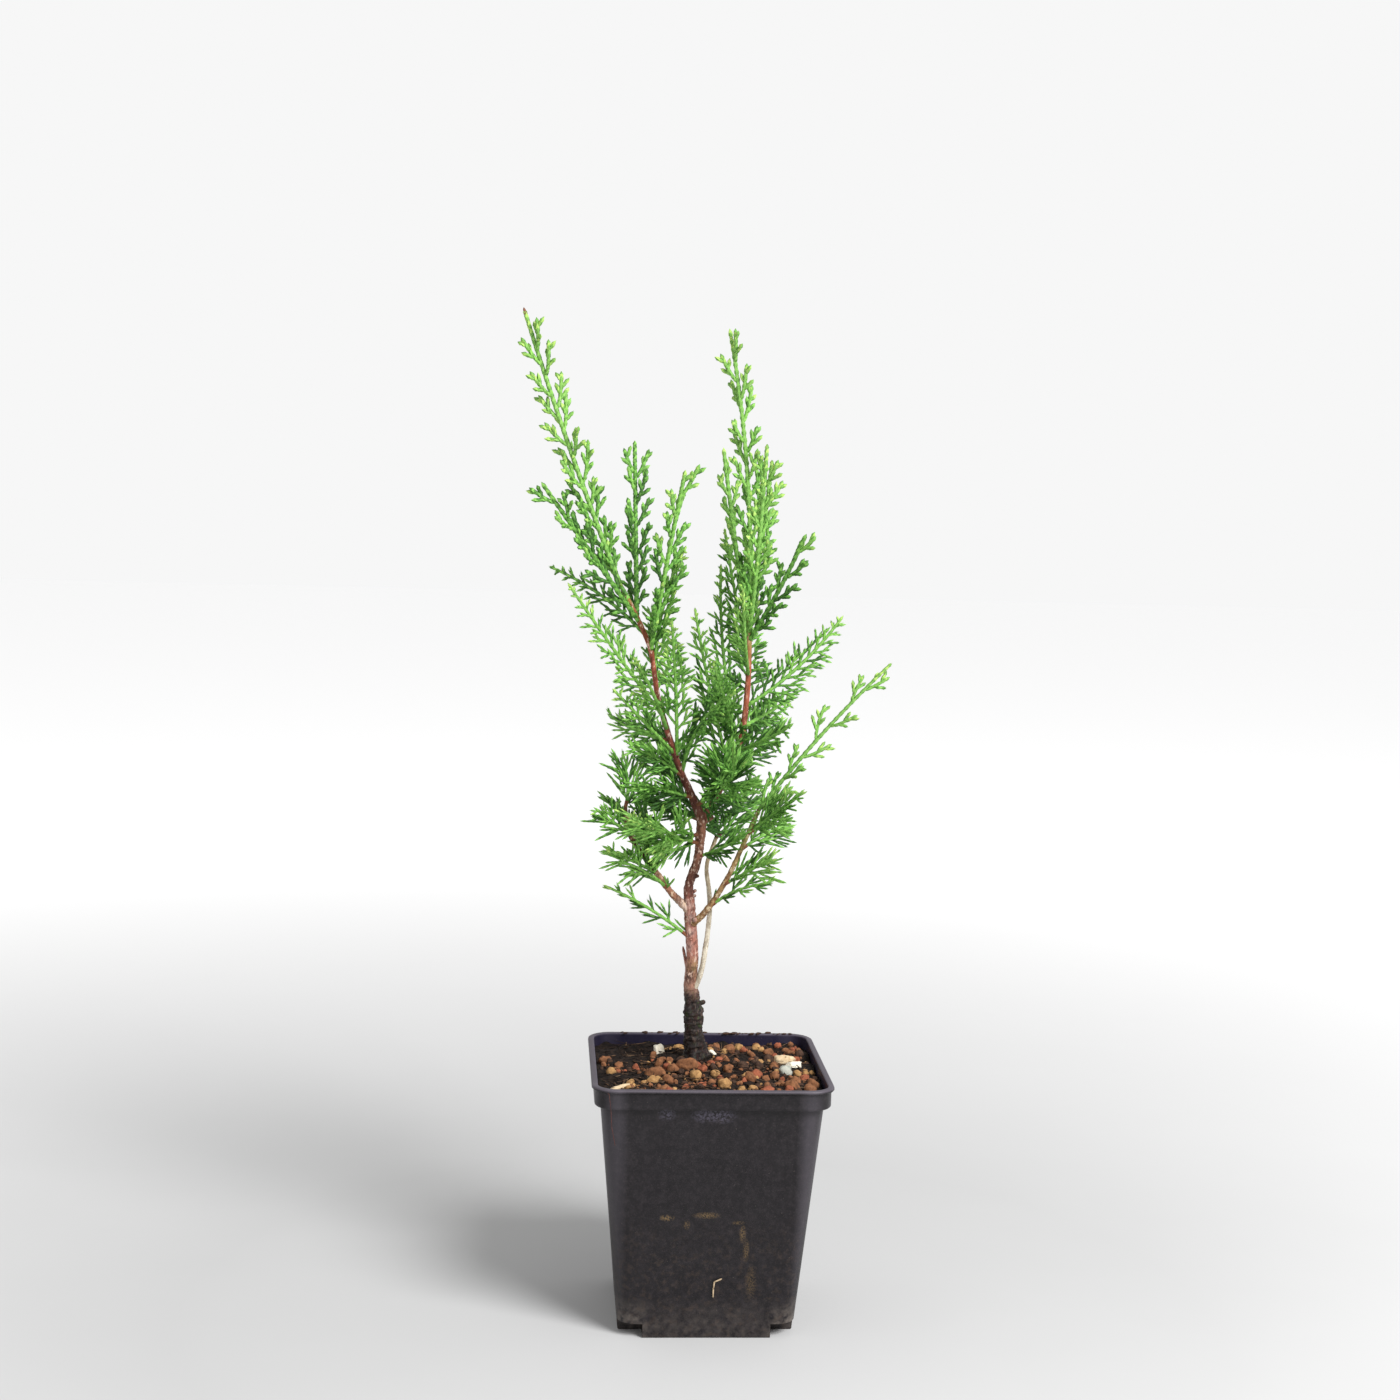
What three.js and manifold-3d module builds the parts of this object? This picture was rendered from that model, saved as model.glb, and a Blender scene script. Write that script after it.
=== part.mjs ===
// Potted Itoigawa Chinese juniper: a young plant, about 0.38 m high over all, in a square plastic
// nursery pot. Millimetres, +Z up. The origin is the middle of the pot's flat underside, and the pot's
// front face looks along -Y. The wood is a set of tapering limbs on smooth lines. Every mass of foliage
// is one branching solid: a stem, and toothed side twigs that leave it left and right in turn, all placed
// by one seeded rule from the sizes in the MASSES list. A tooth is a short green shoot.

import * as THREE from 'three';
import { mergeVertices } from 'three/addons/utils/BufferGeometryUtils.js';
import Module from 'manifold-3d';

const wasm = await Module();
wasm.setup();

// Driving sizes of the pot
const POT_HEIGHT = 97.6;
const POT_WALL = 1.2;
const LIP_WIDTH = 90;
const LIP_THICK = 1.6;
const BAND_WIDTH = 87.8;
const BAND_HEIGHT = 6.2;
const BODY_TOP_WIDTH = 83;
const BODY_FOOT_WIDTH = 66;
const EDGE_ROUND = 0.4;
const LIP_CORNER = 9.5;
const BAND_CORNER = 8.5;
const BODY_TOP_CORNER = 8;
const FOOT_CORNER = 7.5;
const CORNER_STEPS = 4;
const NOTCH_HEIGHT = 5.5;
const TONGUE_WIDTH = 48;

// Gap that neighbouring pieces keep
const GAP = 0.3;

// Driving sizes of the compost
const SOIL_LEVEL = 93.2;
const SOIL_SIDES = 14;
const SOIL_RINGS = [80, 52, 38, 27, 17, 9];
const MOUND_HEIGHT = 2.8;
const MOUND_RADIUS = 27;
const MOUND_FLAT = 9;
const SOIL_LUMP = 0.7;
const GRANULES = 16;
const GRANULE_RADIUS = [1.5, 2.7];
const GRANULE_SIDES = 5;

// Centre line and radius of each limb, from its foot to its end: x, y, z, radius
const TRUNK_FOOT = [-3.4, 10, SOIL_LEVEL + MOUND_HEIGHT];
const LIMBS = {
  trunk: {
    finish: 'bark',
    sides: 8,
    steps: 34,
    line: [
      [...TRUNK_FOOT, 3.9],
      [-4.5, 9.5, 106, 3.8],
      [-5.2, 9, 116, 3.7],
      [-6.4, 8, 125, 2.7],
      [-6.1, 7, 137, 2.3],
      [-7, 6, 148, 2.35],
      [-7.9, 5, 158, 2.2],
      [-8.3, 4.5, 165, 1.8],
      [-5.6, 4, 174, 1.75],
      [-4.4, 3, 185, 1.9],
      [-4.6, 3, 191, 1.9],
      [-7.6, 2, 198.5, 1.55],
      [-12.6, 1, 209, 1.3],
      [-17, 0, 221, 1.2],
      [-22.3, -1, 238, 1],
      [-25.6, -2, 256, 0.95],
      [-31, -3, 268, 0.95],
      [-37.8, -4, 280.5, 0.8],
    ],
  },
  right_leader: {
    finish: 'bark',
    from: 'trunk',
    sides: 6,
    steps: 14,
    line: [
      [-4.4, 3, 188, 1.4],
      [-0.6, 4, 197, 1.35],
      [5.5, 6, 207, 1.3],
      [10.2, 7.5, 220, 1.2],
      [12.6, 9, 241, 1.1],
      [12.9, 11, 262, 1],
      [12.8, 11, 276, 0.85],
    ],
  },
  left_bough: {
    finish: 'bark',
    from: 'trunk',
    sides: 6,
    steps: 10,
    line: [
      [-8, 5, 155, 1.6],
      [-14.4, 3, 161.5, 1.3],
      [-20, 1, 168.6, 1.1],
      [-26, -2, 177, 0.95],
      [-32, -4.5, 186, 0.85],
      [-33.8, -5, 196, 0.7],
    ],
  },
  right_bough: {
    finish: 'pale_bark',
    from: 'trunk',
    sides: 6,
    steps: 12,
    line: [
      [-6.4, 4.5, 150, 1.4],
      [-2.1, 1.5, 155, 1.15],
      [2.4, -1, 162.5, 0.95],
      [7.1, -2, 171.5, 0.9],
      [10.8, -3, 180.5, 0.85],
      [14.8, -4, 190.5, 0.75],
      [17, -5, 196, 0.7],
    ],
  },
  pale_stem: {
    finish: 'pale_bark',
    from: 'trunk',
    sides: 5,
    steps: 12,
    line: [
      [-5.6, 7.5, 122.5, 0.9],
      [-2.9, 5.8, 130, 0.85],
      [-1.1, 5, 142, 0.8],
      [0.2, 7, 155.5, 0.75],
      [-0.2, 10.5, 163, 0.7],
      [-1, 13, 171, 0.65],
      [2.5, 15, 182, 0.6],
    ],
  },
};

// Short dead or cut stubs on the trunk: height, bearing, rise, length, radius
const STUBS = [
  { at: 130, turn: 172, rise: 62, long: 9, radius: 0.8 },
  { at: 117, turn: -10, rise: 20, long: 5.2, radius: 1.2 },
  { at: 151, turn: -60, rise: 15, long: 4.4, radius: 1.3 },
  { at: 161, turn: 20, rise: 30, long: 3.6, radius: 0.8 },
  { at: 189.5, turn: 15, rise: 25, long: 5.4, radius: 1.3 },
];

// Root flare at the foot of the trunk
const FLARE = { height: 11, swell: 0.32, lobes: 4, lobeDepth: 0.16 };

// Three habits of growth: tight bright whips at the top, feathery fronds in the middle, and open
// sprays of long needle-like shoots lower down
const WHIP = { finish: 'tip_green', shoot: 6, spacing: 6.4, lean: 38 };
const FROND = { finish: 'deep_green', shoot: 7.5, spacing: 6.8, lean: 44 };
const SPRAY = { finish: 'deep_green', shoot: 10, spacing: 7.2, lean: 42 };

// One row for each mass: the limb it grows from and the height it leaves at, its bearing (0 is right,
// 90 is back), its rise above level, its length, the longest side twig, the number of side twigs, the
// roll of its fan about the stem, and how far the stem's middle bows below the straight line.
const MASSES = [
  ['left_tip', 'trunk', 'end', -168, 69, 106, 15, 12, -100, 1, WHIP],
  ['right_tip', 'right_leader', 'end', 165, 84, 101, 13, 11, 75, -2.5, WHIP],
  ['right_bough_tip', 'right_bough', 'end', -10, 50, 74, 14, 7, 80, -1.5, WHIP],
  ['left_whip_low', 'trunk', 266, -155, 51, 65, 12, 8, 85, 0, WHIP],
  ['left_frond_high', 'trunk', 261, 170, 34, 44, 9, 6, 80, -2.5, FROND],
  ['left_frond_long', 'trunk', 230, -148, 49, 66, 11, 9, 85, 0.5, FROND],
  ['left_frond_back', 'trunk', 221, 148, 16, 28, 10, 5, 70, 1.5, SPRAY],
  ['middle_whip_back', 'trunk', 268, 93, 69, 70, 13, 9, 0, 0.5, WHIP],
  ['middle_whip_front', 'trunk', 255, -66, 70, 71, 14, 9, 10, -0.5, WHIP],
  ['centre_frond_left', 'trunk', 213, -100, 63, 61, 12, 7, 5, -4, FROND],
  ['centre_frond_mid', 'right_leader', 209, -128, 67, 68, 13, 8, 10, 1.5, FROND],
  ['centre_frond_back', 'right_leader', 218, 114, 75, 71, 11, 7, 0, 5, FROND],
  ['right_frond_back', 'right_leader', 253, 110, 62, 54, 10, 6, 10, 1.5, FROND],
  ['right_whip_front', 'right_leader', 262, -83, 73, 74, 11, 8, 20, 2, WHIP],
  ['right_whip_left', 'right_leader', 258, 115, 72, 77, 11, 6, 30, 0.5, WHIP],
  ['right_whip_back', 'right_leader', 266, 63, 73, 64, 12, 7, 40, 1, WHIP],
  ['right_whip_side', 'right_leader', 259, -44, 58, 48, 12, 7, 75, 1, WHIP],
  ['right_feather', 'right_leader', 234, 1, 44, 50, 14, 9, 85, 2.5, FROND],
  ['right_frond_low', 'right_leader', 226, 48, 17, 33, 12, 5, 70, 0.5, FROND],
  ['right_frond_near', 'right_leader', 217, -46, 25, 29, 12, 5, 60, 1, FROND],
  ['right_fan', 'right_bough', 186, -49, 35, 30, 13, 6, 70, 0, SPRAY],
  ['right_fan_back', 'right_bough', 180, 29, 21, 24, 12, 4, 60, -1, SPRAY],
  ['right_low', 'right_bough', 166, -32, 31, 23, 12, 5, 60, 0, SPRAY],
  ['left_bough_tip', 'left_bough', 'end', -137, 81, 19, 12, 5, 60, -2.5, SPRAY],
  ['left_bough_front', 'left_bough', 187, -135, 29, 20, 11, 5, 60, 0.5, SPRAY],
  ['left_bough_back', 'left_bough', 182, 121, 36, 25, 11, 5, 50, -2.5, SPRAY],
  ['left_bough_under', 'left_bough', 170, -136, 23, 29, 12, 5, 40, -0.5, SPRAY],
  ['left_low', 'trunk', 143, -163, 32, 42, 8, 5, 80, -1.5, SPRAY],
  ['left_middle', 'trunk', 207, -157, 28, 26, 12, 5, 70, -1.5, SPRAY],
  ['front_left_low', 'trunk', 216, -135, 37, 43, 12, 6, 40, 0, FROND],
  ['front_low', 'trunk', 181, -128, 17, 49, 15, 6, 30, 0, SPRAY],
  ['front_middle', 'trunk', 196, -66, 29, 43, 16, 6, 20, 1.5, SPRAY],
  ['front_left', 'trunk', 225, -116, 42, 44, 11, 5, 10, -1.5, FROND],
  ['front_right', 'right_leader', 218, -109, 40, 54, 13, 6, 0, -0.5, FROND],
  ['front_high', 'right_leader', 246, -101, 51, 43, 11, 6, 0, 3.5, FROND],
  ['back_left', 'trunk', 205, 110, 31, 43, 14, 5, 20, 2.5, SPRAY],
  ['back_middle', 'trunk', 186, 74, 24, 42, 14, 5, 30, 3, SPRAY],
  ['back_right', 'right_leader', 210, 63, 29, 46, 14, 5, 20, 3, SPRAY],
  ['back_high', 'trunk', 241, 75, 25, 38, 12, 5, 10, 2.5, FROND],
  ['back_top', 'right_leader', 238, 83, 44, 46, 13, 5, 10, 4, FROND],
  ['back_low', 'pale_stem', 'end', 51, 40, 32, 14, 5, 20, 3, SPRAY],
  ['heart_left', 'trunk', 199, -137, 11, 33, 14, 5, 40, -1, SPRAY],
  ['heart_left_low', 'trunk', 186, -159, -7, 25, 14, 5, 60, 2.5, SPRAY],
  ['heart_back', 'trunk', 190, 129, 6, 32, 14, 5, 40, -0.5, SPRAY],
  ['heart_right', 'trunk', 176, -42, 25, 23, 13, 5, 60, 0.5, SPRAY],
  ['heart_fork', 'right_leader', 200, -85, 48, 29, 15, 5, 20, 4.5, SPRAY],
  ['heart_cross', 'trunk', 208, -53, 49, 44, 14, 6, 70, -5.5, FROND],
  ['middle_frond', 'trunk', 245, -47, 74, 51, 13, 7, 80, -4, FROND],
  ['left_bough_heart', 'left_bough', 175, 95, 52, 28, 13, 4, 50, -2, SPRAY],
  ['left_bough_low', 'left_bough', 163, -140, 28, 29, 10, 4, 60, -1.5, SPRAY],
  ['right_bough_low', 'right_bough', 157, -30, 25, 28, 10, 4, 60, -2, SPRAY],
  ['heart_back_left', 'trunk', 194, 128, 44, 30, 14, 4, 30, 3.5, SPRAY],
  ['heart_back_right', 'right_leader', 203, 86, 33, 22, 14, 4, 30, 6, SPRAY],
].map(([name, limb, at, turn, rise, long, reach, twigs, roll, bow, habit]) => (
  { name, limb, at, turn, rise, long, reach, twigs, roll, bow, habit }
));

// Green wood and shoots: a stem is three-sided, and a side twig with its shoots is one toothed blade
const STEM_RADIUS = [1.3, 1];
const STEM_STEPS = 4;
const TWIG_ZONE = [0.1, 0.98];
const TWIG_TILT = 35;
const BLADE_TWIST = 40;
const BLADE_THICK = 0.9;
const BLADE_ROOT = [0.2, 1.6];
const BLADE_WIDTH = [1.5, 1.1];
const SHOOT_WIDTH = 2.3;
const SHOOT_SPLAY = 40;
const CLEARANCE = 0.1;

const UP = new THREE.Vector3(0, 0, 1);
const rad = THREE.MathUtils.degToRad;
const point = (x, y, z) => new THREE.Vector3(x, y, z);
const { lerp } = THREE.MathUtils;

// Seeded draws between 0 and 1, the same on every run
function seeded(seed) {
  let state = seed;
  return () => {
    state = (state * 16807) % 2147483647;
    return state / 2147483647;
  };
}

// A closed solid from rings of points, each ring in the same order, with flat or pointed ends
function loft(rings) {
  const vertices = [];
  const faces = [];
  const starts = rings.map((ring) => {
    const start = vertices.length / 3;
    ring.forEach((p) => vertices.push(p.x, p.y, p.z));
    return start;
  });
  for (let i = 0; i + 1 < rings.length; i++) {
    const [low, high] = [rings[i], rings[i + 1]];
    const sides = Math.max(low.length, high.length);
    for (let k = 0; k < sides; k++) {
      const next = (k + 1) % sides;
      if (low.length === 1) {
        faces.push(starts[i], starts[i + 1] + next, starts[i + 1] + k);
      } else if (high.length === 1) {
        faces.push(starts[i] + k, starts[i] + next, starts[i + 1]);
      } else {
        faces.push(starts[i] + k, starts[i] + next, starts[i + 1] + next);
        faces.push(starts[i] + k, starts[i + 1] + next, starts[i + 1] + k);
      }
    }
  }
  const last = starts[rings.length - 1];
  for (let k = 1; k + 1 < rings[0].length; k++) faces.push(starts[0], starts[0] + k + 1, starts[0] + k);
  for (let k = 1; k + 1 < rings[rings.length - 1].length; k++) faces.push(last, last + k, last + k + 1);
  return toSolid(vertices, faces);
}

function toSolid(vertices, faces) {
  const geometry = new THREE.BufferGeometry();
  geometry.setAttribute('position', new THREE.Float32BufferAttribute(vertices, 3));
  if (faces) geometry.setIndex(faces);
  const welded = mergeVertices(geometry);
  return new wasm.Manifold(new wasm.Mesh({
    numProp: 3,
    vertProperties: new Float32Array(welded.attributes.position.array),
    triVerts: new Uint32Array(welded.index.array),
  }));
}

function toGeometry(solid) {
  const mesh = solid.getMesh();
  const geometry = new THREE.BufferGeometry();
  geometry.setAttribute('position', new THREE.BufferAttribute(mesh.vertProperties, 3));
  geometry.setIndex(new THREE.BufferAttribute(mesh.triVerts, 1));
  const flat = geometry.toNonIndexed();
  flat.computeVertexNormals();
  return flat;
}

// The largest piece of a solid, without loose scraps or sealed pockets
function wholePiece(solid) {
  return solid.decompose().sort((a, b) => b.volume() - a.volume())[0];
}

function join(solids) {
  return solids.reduce((sum, solid) => sum.add(solid));
}

// Pot: a square tub with round corners

function roundedSquare(width, corner, z) {
  const ring = [];
  const reach = width / 2 - corner;
  for (let quarter = 0; quarter < 4; quarter++) {
    const middle = rad(45 + 90 * quarter);
    const cx = Math.sign(Math.cos(middle)) * reach;
    const cy = Math.sign(Math.sin(middle)) * reach;
    for (let step = 0; step <= CORNER_STEPS; step++) {
      const angle = rad(90 * quarter + (90 * step) / CORNER_STEPS);
      ring.push(point(cx + corner * Math.cos(angle), cy + corner * Math.sin(angle), z));
    }
  }
  return ring;
}

function cornerBlocks(inner, top) {
  const outer = LIP_WIDTH;
  const blocks = [];
  for (const sx of [-1, 1]) {
    for (const sy of [-1, 1]) {
      const corners = [[inner, inner], [outer, inner], [outer, outer], [inner, outer]];
      if (sx * sy < 0) corners.reverse();
      blocks.push(loft([-10, top].map((z) => corners.map(([x, y]) => point(sx * x, sy * y, z)))));
    }
  }
  return join(blocks);
}

// The tub's outside, drawn in by an inset, from a floor height to a top height
const BAND_FOOT = POT_HEIGHT - LIP_THICK - BAND_HEIGHT;
function tubWidth(z) {
  return BODY_FOOT_WIDTH + ((BODY_TOP_WIDTH - BODY_FOOT_WIDTH) * z) / BAND_FOOT;
}
function tubCorner(z) {
  return FOOT_CORNER + ((BODY_TOP_CORNER - FOOT_CORNER) * z) / BAND_FOOT;
}
function tubSpace(inset, floor) {
  const ring = (z, width, corner) => roundedSquare(width - 2 * inset, corner - inset, z);
  const step = BAND_FOOT + inset;
  return loft([
    ring(floor, tubWidth(floor), tubCorner(floor)),
    ring(step, tubWidth(step), tubCorner(step)),
    ring(step + 2 * EDGE_ROUND, BAND_WIDTH, BAND_CORNER),
    ring(POT_HEIGHT + LIP_THICK, BAND_WIDTH, BAND_CORNER),
  ]);
}

// The floor is a flat cross, and its four corners are stepped up
const FLOOR_THICK = 2 * POT_WALL;
function tubInside(inset) {
  const step = cornerBlocks(TONGUE_WIDTH / 2 - inset, NOTCH_HEIGHT + inset);
  return tubSpace(inset, FLOOR_THICK + inset - POT_WALL).subtract(step);
}

function pot() {
  const lipFoot = POT_HEIGHT - LIP_THICK;
  const outside = loft([
    roundedSquare(BODY_FOOT_WIDTH - 2 * EDGE_ROUND, FOOT_CORNER, 0),
    roundedSquare(tubWidth(EDGE_ROUND), tubCorner(EDGE_ROUND), EDGE_ROUND),
    roundedSquare(tubWidth(BAND_FOOT), tubCorner(BAND_FOOT), BAND_FOOT),
    roundedSquare(BAND_WIDTH, BAND_CORNER, BAND_FOOT + EDGE_ROUND),
    roundedSquare(BAND_WIDTH, BAND_CORNER, lipFoot),
    roundedSquare(LIP_WIDTH, LIP_CORNER, lipFoot + EDGE_ROUND),
    roundedSquare(LIP_WIDTH, LIP_CORNER, POT_HEIGHT - EDGE_ROUND),
    roundedSquare(LIP_WIDTH - 2 * EDGE_ROUND, LIP_CORNER - EDGE_ROUND, POT_HEIGHT),
  ]);
  return outside.subtract(tubInside(POT_WALL)).subtract(cornerBlocks(TONGUE_WIDTH / 2, NOTCH_HEIGHT));
}

// Compost: fills the tub to just under the lip, heaped a little at the trunk, with round granules

function soilHeight(x, y) {
  const away = Math.hypot(x - TRUNK_FOOT[0], y - TRUNK_FOOT[1]);
  const slope = Math.min(1, Math.max(0, (away - MOUND_FLAT) / (MOUND_RADIUS - MOUND_FLAT)));
  const mound = MOUND_HEIGHT * (0.5 + 0.5 * Math.cos(Math.PI * slope));
  const lumps = Math.sin(0.41 * x + 1.3) * Math.cos(0.37 * y - 0.6) + Math.sin(0.23 * x - 0.31 * y);
  return SOIL_LEVEL + mound + SOIL_LUMP * lumps * slope;
}

// Everything below the compost's surface, as rings round the trunk from the outside in
function soilCap() {
  const ring = (radius, height) => {
    const list = [];
    for (let k = 0; k < SOIL_SIDES; k++) {
      const angle = (2 * Math.PI * k) / SOIL_SIDES;
      const [x, y] = [TRUNK_FOOT[0] + radius * Math.cos(angle), TRUNK_FOOT[1] + radius * Math.sin(angle)];
      list.push(point(x, y, height(x, y)));
    }
    return list;
  };
  return loft([ring(SOIL_RINGS[0], () => 0), ...SOIL_RINGS.map((radius) => ring(radius, soilHeight))]);
}

function granule(centre, radius, draw) {
  const turn = rad(360 * draw());
  const flat = 0.65 + 0.25 * draw();
  const ring = [];
  for (let k = 0; k < GRANULE_SIDES; k++) {
    const angle = turn + (2 * Math.PI * k) / GRANULE_SIDES;
    const out = radius * (0.85 + 0.3 * draw());
    ring.push(centre.clone().add(point(out * Math.cos(angle), out * Math.sin(angle), 0)));
  }
  const top = centre.clone().add(point(0.2 * radius, 0.1 * radius, flat * radius));
  const bottom = centre.clone().add(point(0, 0, -radius));
  return loft([[bottom], ring, [top]]);
}

function soil() {
  const draw = seeded(4127);
  const pieces = [tubInside(POT_WALL + GAP).intersect(soilCap())];
  const reach = BODY_TOP_WIDTH / 2 - 2 * GRANULE_RADIUS[1];
  while (pieces.length <= GRANULES) {
    const [x, y] = [reach * (2 * draw() - 1), reach * (2 * draw() - 1)];
    const radius = lerp(GRANULE_RADIUS[0], GRANULE_RADIUS[1], draw());
    if (Math.hypot(x - TRUNK_FOOT[0], y - TRUNK_FOOT[1]) < MOUND_FLAT + radius) continue;
    pieces.push(granule(point(x, y, soilHeight(x, y) + 0.15 * radius), radius, draw));
  }
  return wholePiece(join(pieces));
}

// Limbs: round tapering tubes along smooth lines

function bearing(turn, rise) {
  return point(
    Math.cos(rad(turn)) * Math.cos(rad(rise)),
    Math.sin(rad(turn)) * Math.cos(rad(rise)),
    Math.sin(rad(rise)),
  );
}

function stations({ line, steps }) {
  const curve = new THREE.CatmullRomCurve3(line.map(([x, y, z]) => point(x, y, z)));
  const list = [];
  for (let i = 0; i <= steps; i++) {
    const along = (i / steps) * (line.length - 1);
    const k = Math.min(Math.floor(along), line.length - 2);
    const radius = lerp(line[k][3], line[k + 1][3], along - k);
    list.push({ at: curve.getPoint(i / steps), radius });
  }
  return list;
}

// A tube whose rings stand square to its line. A radius of 0 makes a pointed end.
function tube(list, sides, swell = () => 1) {
  const directions = list.map((station, i) => {
    const before = list[Math.max(i - 1, 0)].at;
    const after = list[Math.min(i + 1, list.length - 1)].at;
    return after.clone().sub(before).normalize();
  });
  const across = Math.abs(directions[0].z) > 0.9 ? point(1, 0, 0) : UP.clone();
  across.cross(directions[0]).normalize();
  return list.map((station, i) => {
    if (station.radius === 0) return [station.at];
    across.addScaledVector(directions[i], -across.dot(directions[i])).normalize();
    const other = directions[i].clone().cross(across);
    const ring = [];
    for (let k = 0; k < sides; k++) {
      const angle = (2 * Math.PI * k) / sides;
      const out = station.radius * swell(angle, station.at.z);
      ring.push(station.at.clone()
        .addScaledVector(across, out * Math.cos(angle))
        .addScaledVector(other, out * Math.sin(angle)));
    }
    return ring;
  });
}

const limbStations = Object.fromEntries(Object.entries(LIMBS).map(([name, limb]) => [name, stations(limb)]));

function pointAtHeight(name, z) {
  const list = limbStations[name];
  if (z === 'end') return list[list.length - 1].at.clone();
  const i = list.findIndex((s) => s.at.z >= z);
  const [low, high] = [list[i - 1].at, list[i].at];
  return low.clone().lerp(high, (z - low.z) / (high.z - low.z));
}

function flare(angle, z) {
  const near = Math.max(0, 1 - (z - TRUNK_FOOT[2]) / FLARE.height);
  return 1 + near * near * (FLARE.swell + FLARE.lobeDepth * Math.cos(FLARE.lobes * angle + 0.8));
}

function limbSolid(name, extra = 0) {
  const fatter = limbStations[name].map(({ at, radius }) => ({ at, radius: radius + extra }));
  const rings = tube(fatter, LIMBS[name].sides, name === 'trunk' ? flare : undefined);
  if (name === 'trunk') rings[0].forEach((p) => p.setZ(TRUNK_FOOT[2] + GAP - extra));
  return loft(rings);
}

function stub({ at, turn, rise, long, radius }) {
  const foot = pointAtHeight('trunk', at);
  const out = bearing(turn, rise);
  const along = (share) => foot.clone().addScaledVector(out, share * long);
  return loft(tube([
    { at: foot, radius: radius * 1.2 },
    { at: along(0.8), radius: radius * 0.8 },
    { at: along(1), radius: radius * 0.45 },
  ], 6));
}

// The same limbs a gap fatter, to cut whatever meets them
const cutters = Object.fromEntries(Object.keys(LIMBS).map((name) => [name, limbSolid(name, GAP)]));
const fatStubs = STUBS.map((row) => stub({ ...row, radius: row.radius + GAP, long: row.long + GAP }));
cutters.trunk = join([cutters.trunk, ...fatStubs]);

function limbPiece(name) {
  if (name === 'trunk') return join([limbSolid(name), ...STUBS.map(stub)]);
  return wholePiece(limbSolid(name).subtract(cutters[LIMBS[name].from]));
}

// Foliage: a mass keeps clear of the limbs and of every other mass, and a twig that would not is skipped

const taken = [];
for (const [name, list] of Object.entries(limbStations)) {
  for (let i = 0; i + 1 < list.length; i++) {
    taken.push({ owner: name, a: list[i].at, b: list[i + 1].at, radius: list[i].radius });
  }
}

// The least distance between two straight stretches, a to b and c to d
function nearest(a, b, c, d) {
  const [u, v, w] = [b.clone().sub(a), d.clone().sub(c), a.clone().sub(c)];
  const [uu, uv, vv, uw, vw] = [u.dot(u), u.dot(v), v.dot(v), u.dot(w), v.dot(w)];
  const den = uu * vv - uv * uv;
  const clamp = (value) => Math.min(1, Math.max(0, value));
  let s = den > 1e-9 ? clamp((uv * vw - vv * uw) / den) : 0;
  const t = clamp((uv * s + vw) / vv);
  s = clamp((uv * t - uw) / uu);
  return w.addScaledVector(u, s).addScaledVector(v, -t).length();
}

function isClear(a, b, radius, owner) {
  return taken.every((other) => other.owner === owner
    || nearest(a, b, other.a, other.b) > radius + other.radius + CLEARANCE);
}

function massFrame({ limb, at, turn, rise, long, roll, bow }) {
  const foot = pointAtHeight(limb, at);
  const out = bearing(turn, rise);
  const down = bearing(turn, rise - 90);
  const side = out.clone().cross(UP).normalize().applyAxisAngle(out, rad(roll));
  if (at === 'end') foot.addScaledVector(out, GAP);
  const stem = (t) => foot.clone()
    .addScaledVector(out, long * t)
    .addScaledVector(down, bow * 4 * t * (1 - t));
  return { stem, side, face: out.clone().cross(side) };
}

// Each stem's line is taken first, so that no twig of another mass crosses it
const frames = MASSES.map(massFrame);
const stemRadius = (t) => lerp(STEM_RADIUS[0], STEM_RADIUS[1], t);
MASSES.forEach(({ name }, index) => {
  for (let i = 0; i < STEM_STEPS; i++) {
    const [from, to] = [i, i + 1].map((step) => frames[index].stem(step / STEM_STEPS));
    taken.push({ owner: name, a: from, b: to, radius: stemRadius(i / STEM_STEPS) });
  }
});

// How long a side twig is at each place along its stem, as a share of the longest
function twigShare(t) {
  return Math.min(1, 0.6 + 1.6 * t) * (1 - t) ** 0.45;
}

// A side twig and its shoots, cut as one flat outline: x runs along the twig from the stem's centre
function twigBlade(root, out, across, long, shoots) {
  const half = (x) => lerp(BLADE_WIDTH[0], BLADE_WIDTH[1], x / long) / 2;
  const edge = (hand) => shoots.filter((shoot) => shoot.hand === hand).flatMap(({ from, tip }) => [
    [from - SHOOT_WIDTH / 2, hand * half(from)],
    [tip[0], tip[1]],
    [from + SHOOT_WIDTH / 2, hand * half(from)],
  ]);
  const [root0, root1] = BLADE_ROOT;
  const below = [[root0, 0], [root1, -half(0)], ...edge(-1)];
  const above = [[long, 0], ...edge(1).reverse(), [root1, half(0)]];
  const shape = new THREE.Shape([...below, ...above].map(([x, y]) => new THREE.Vector2(x, y)));
  const geometry = new THREE.ExtrudeGeometry(shape, { depth: BLADE_THICK, bevelEnabled: false });
  geometry.translate(0, 0, -BLADE_THICK / 2);
  const place = new THREE.Matrix4().makeBasis(out, across, out.clone().cross(across)).setPosition(root);
  geometry.applyMatrix4(place);
  return toSolid([...geometry.attributes.position.array]);
}

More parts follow.
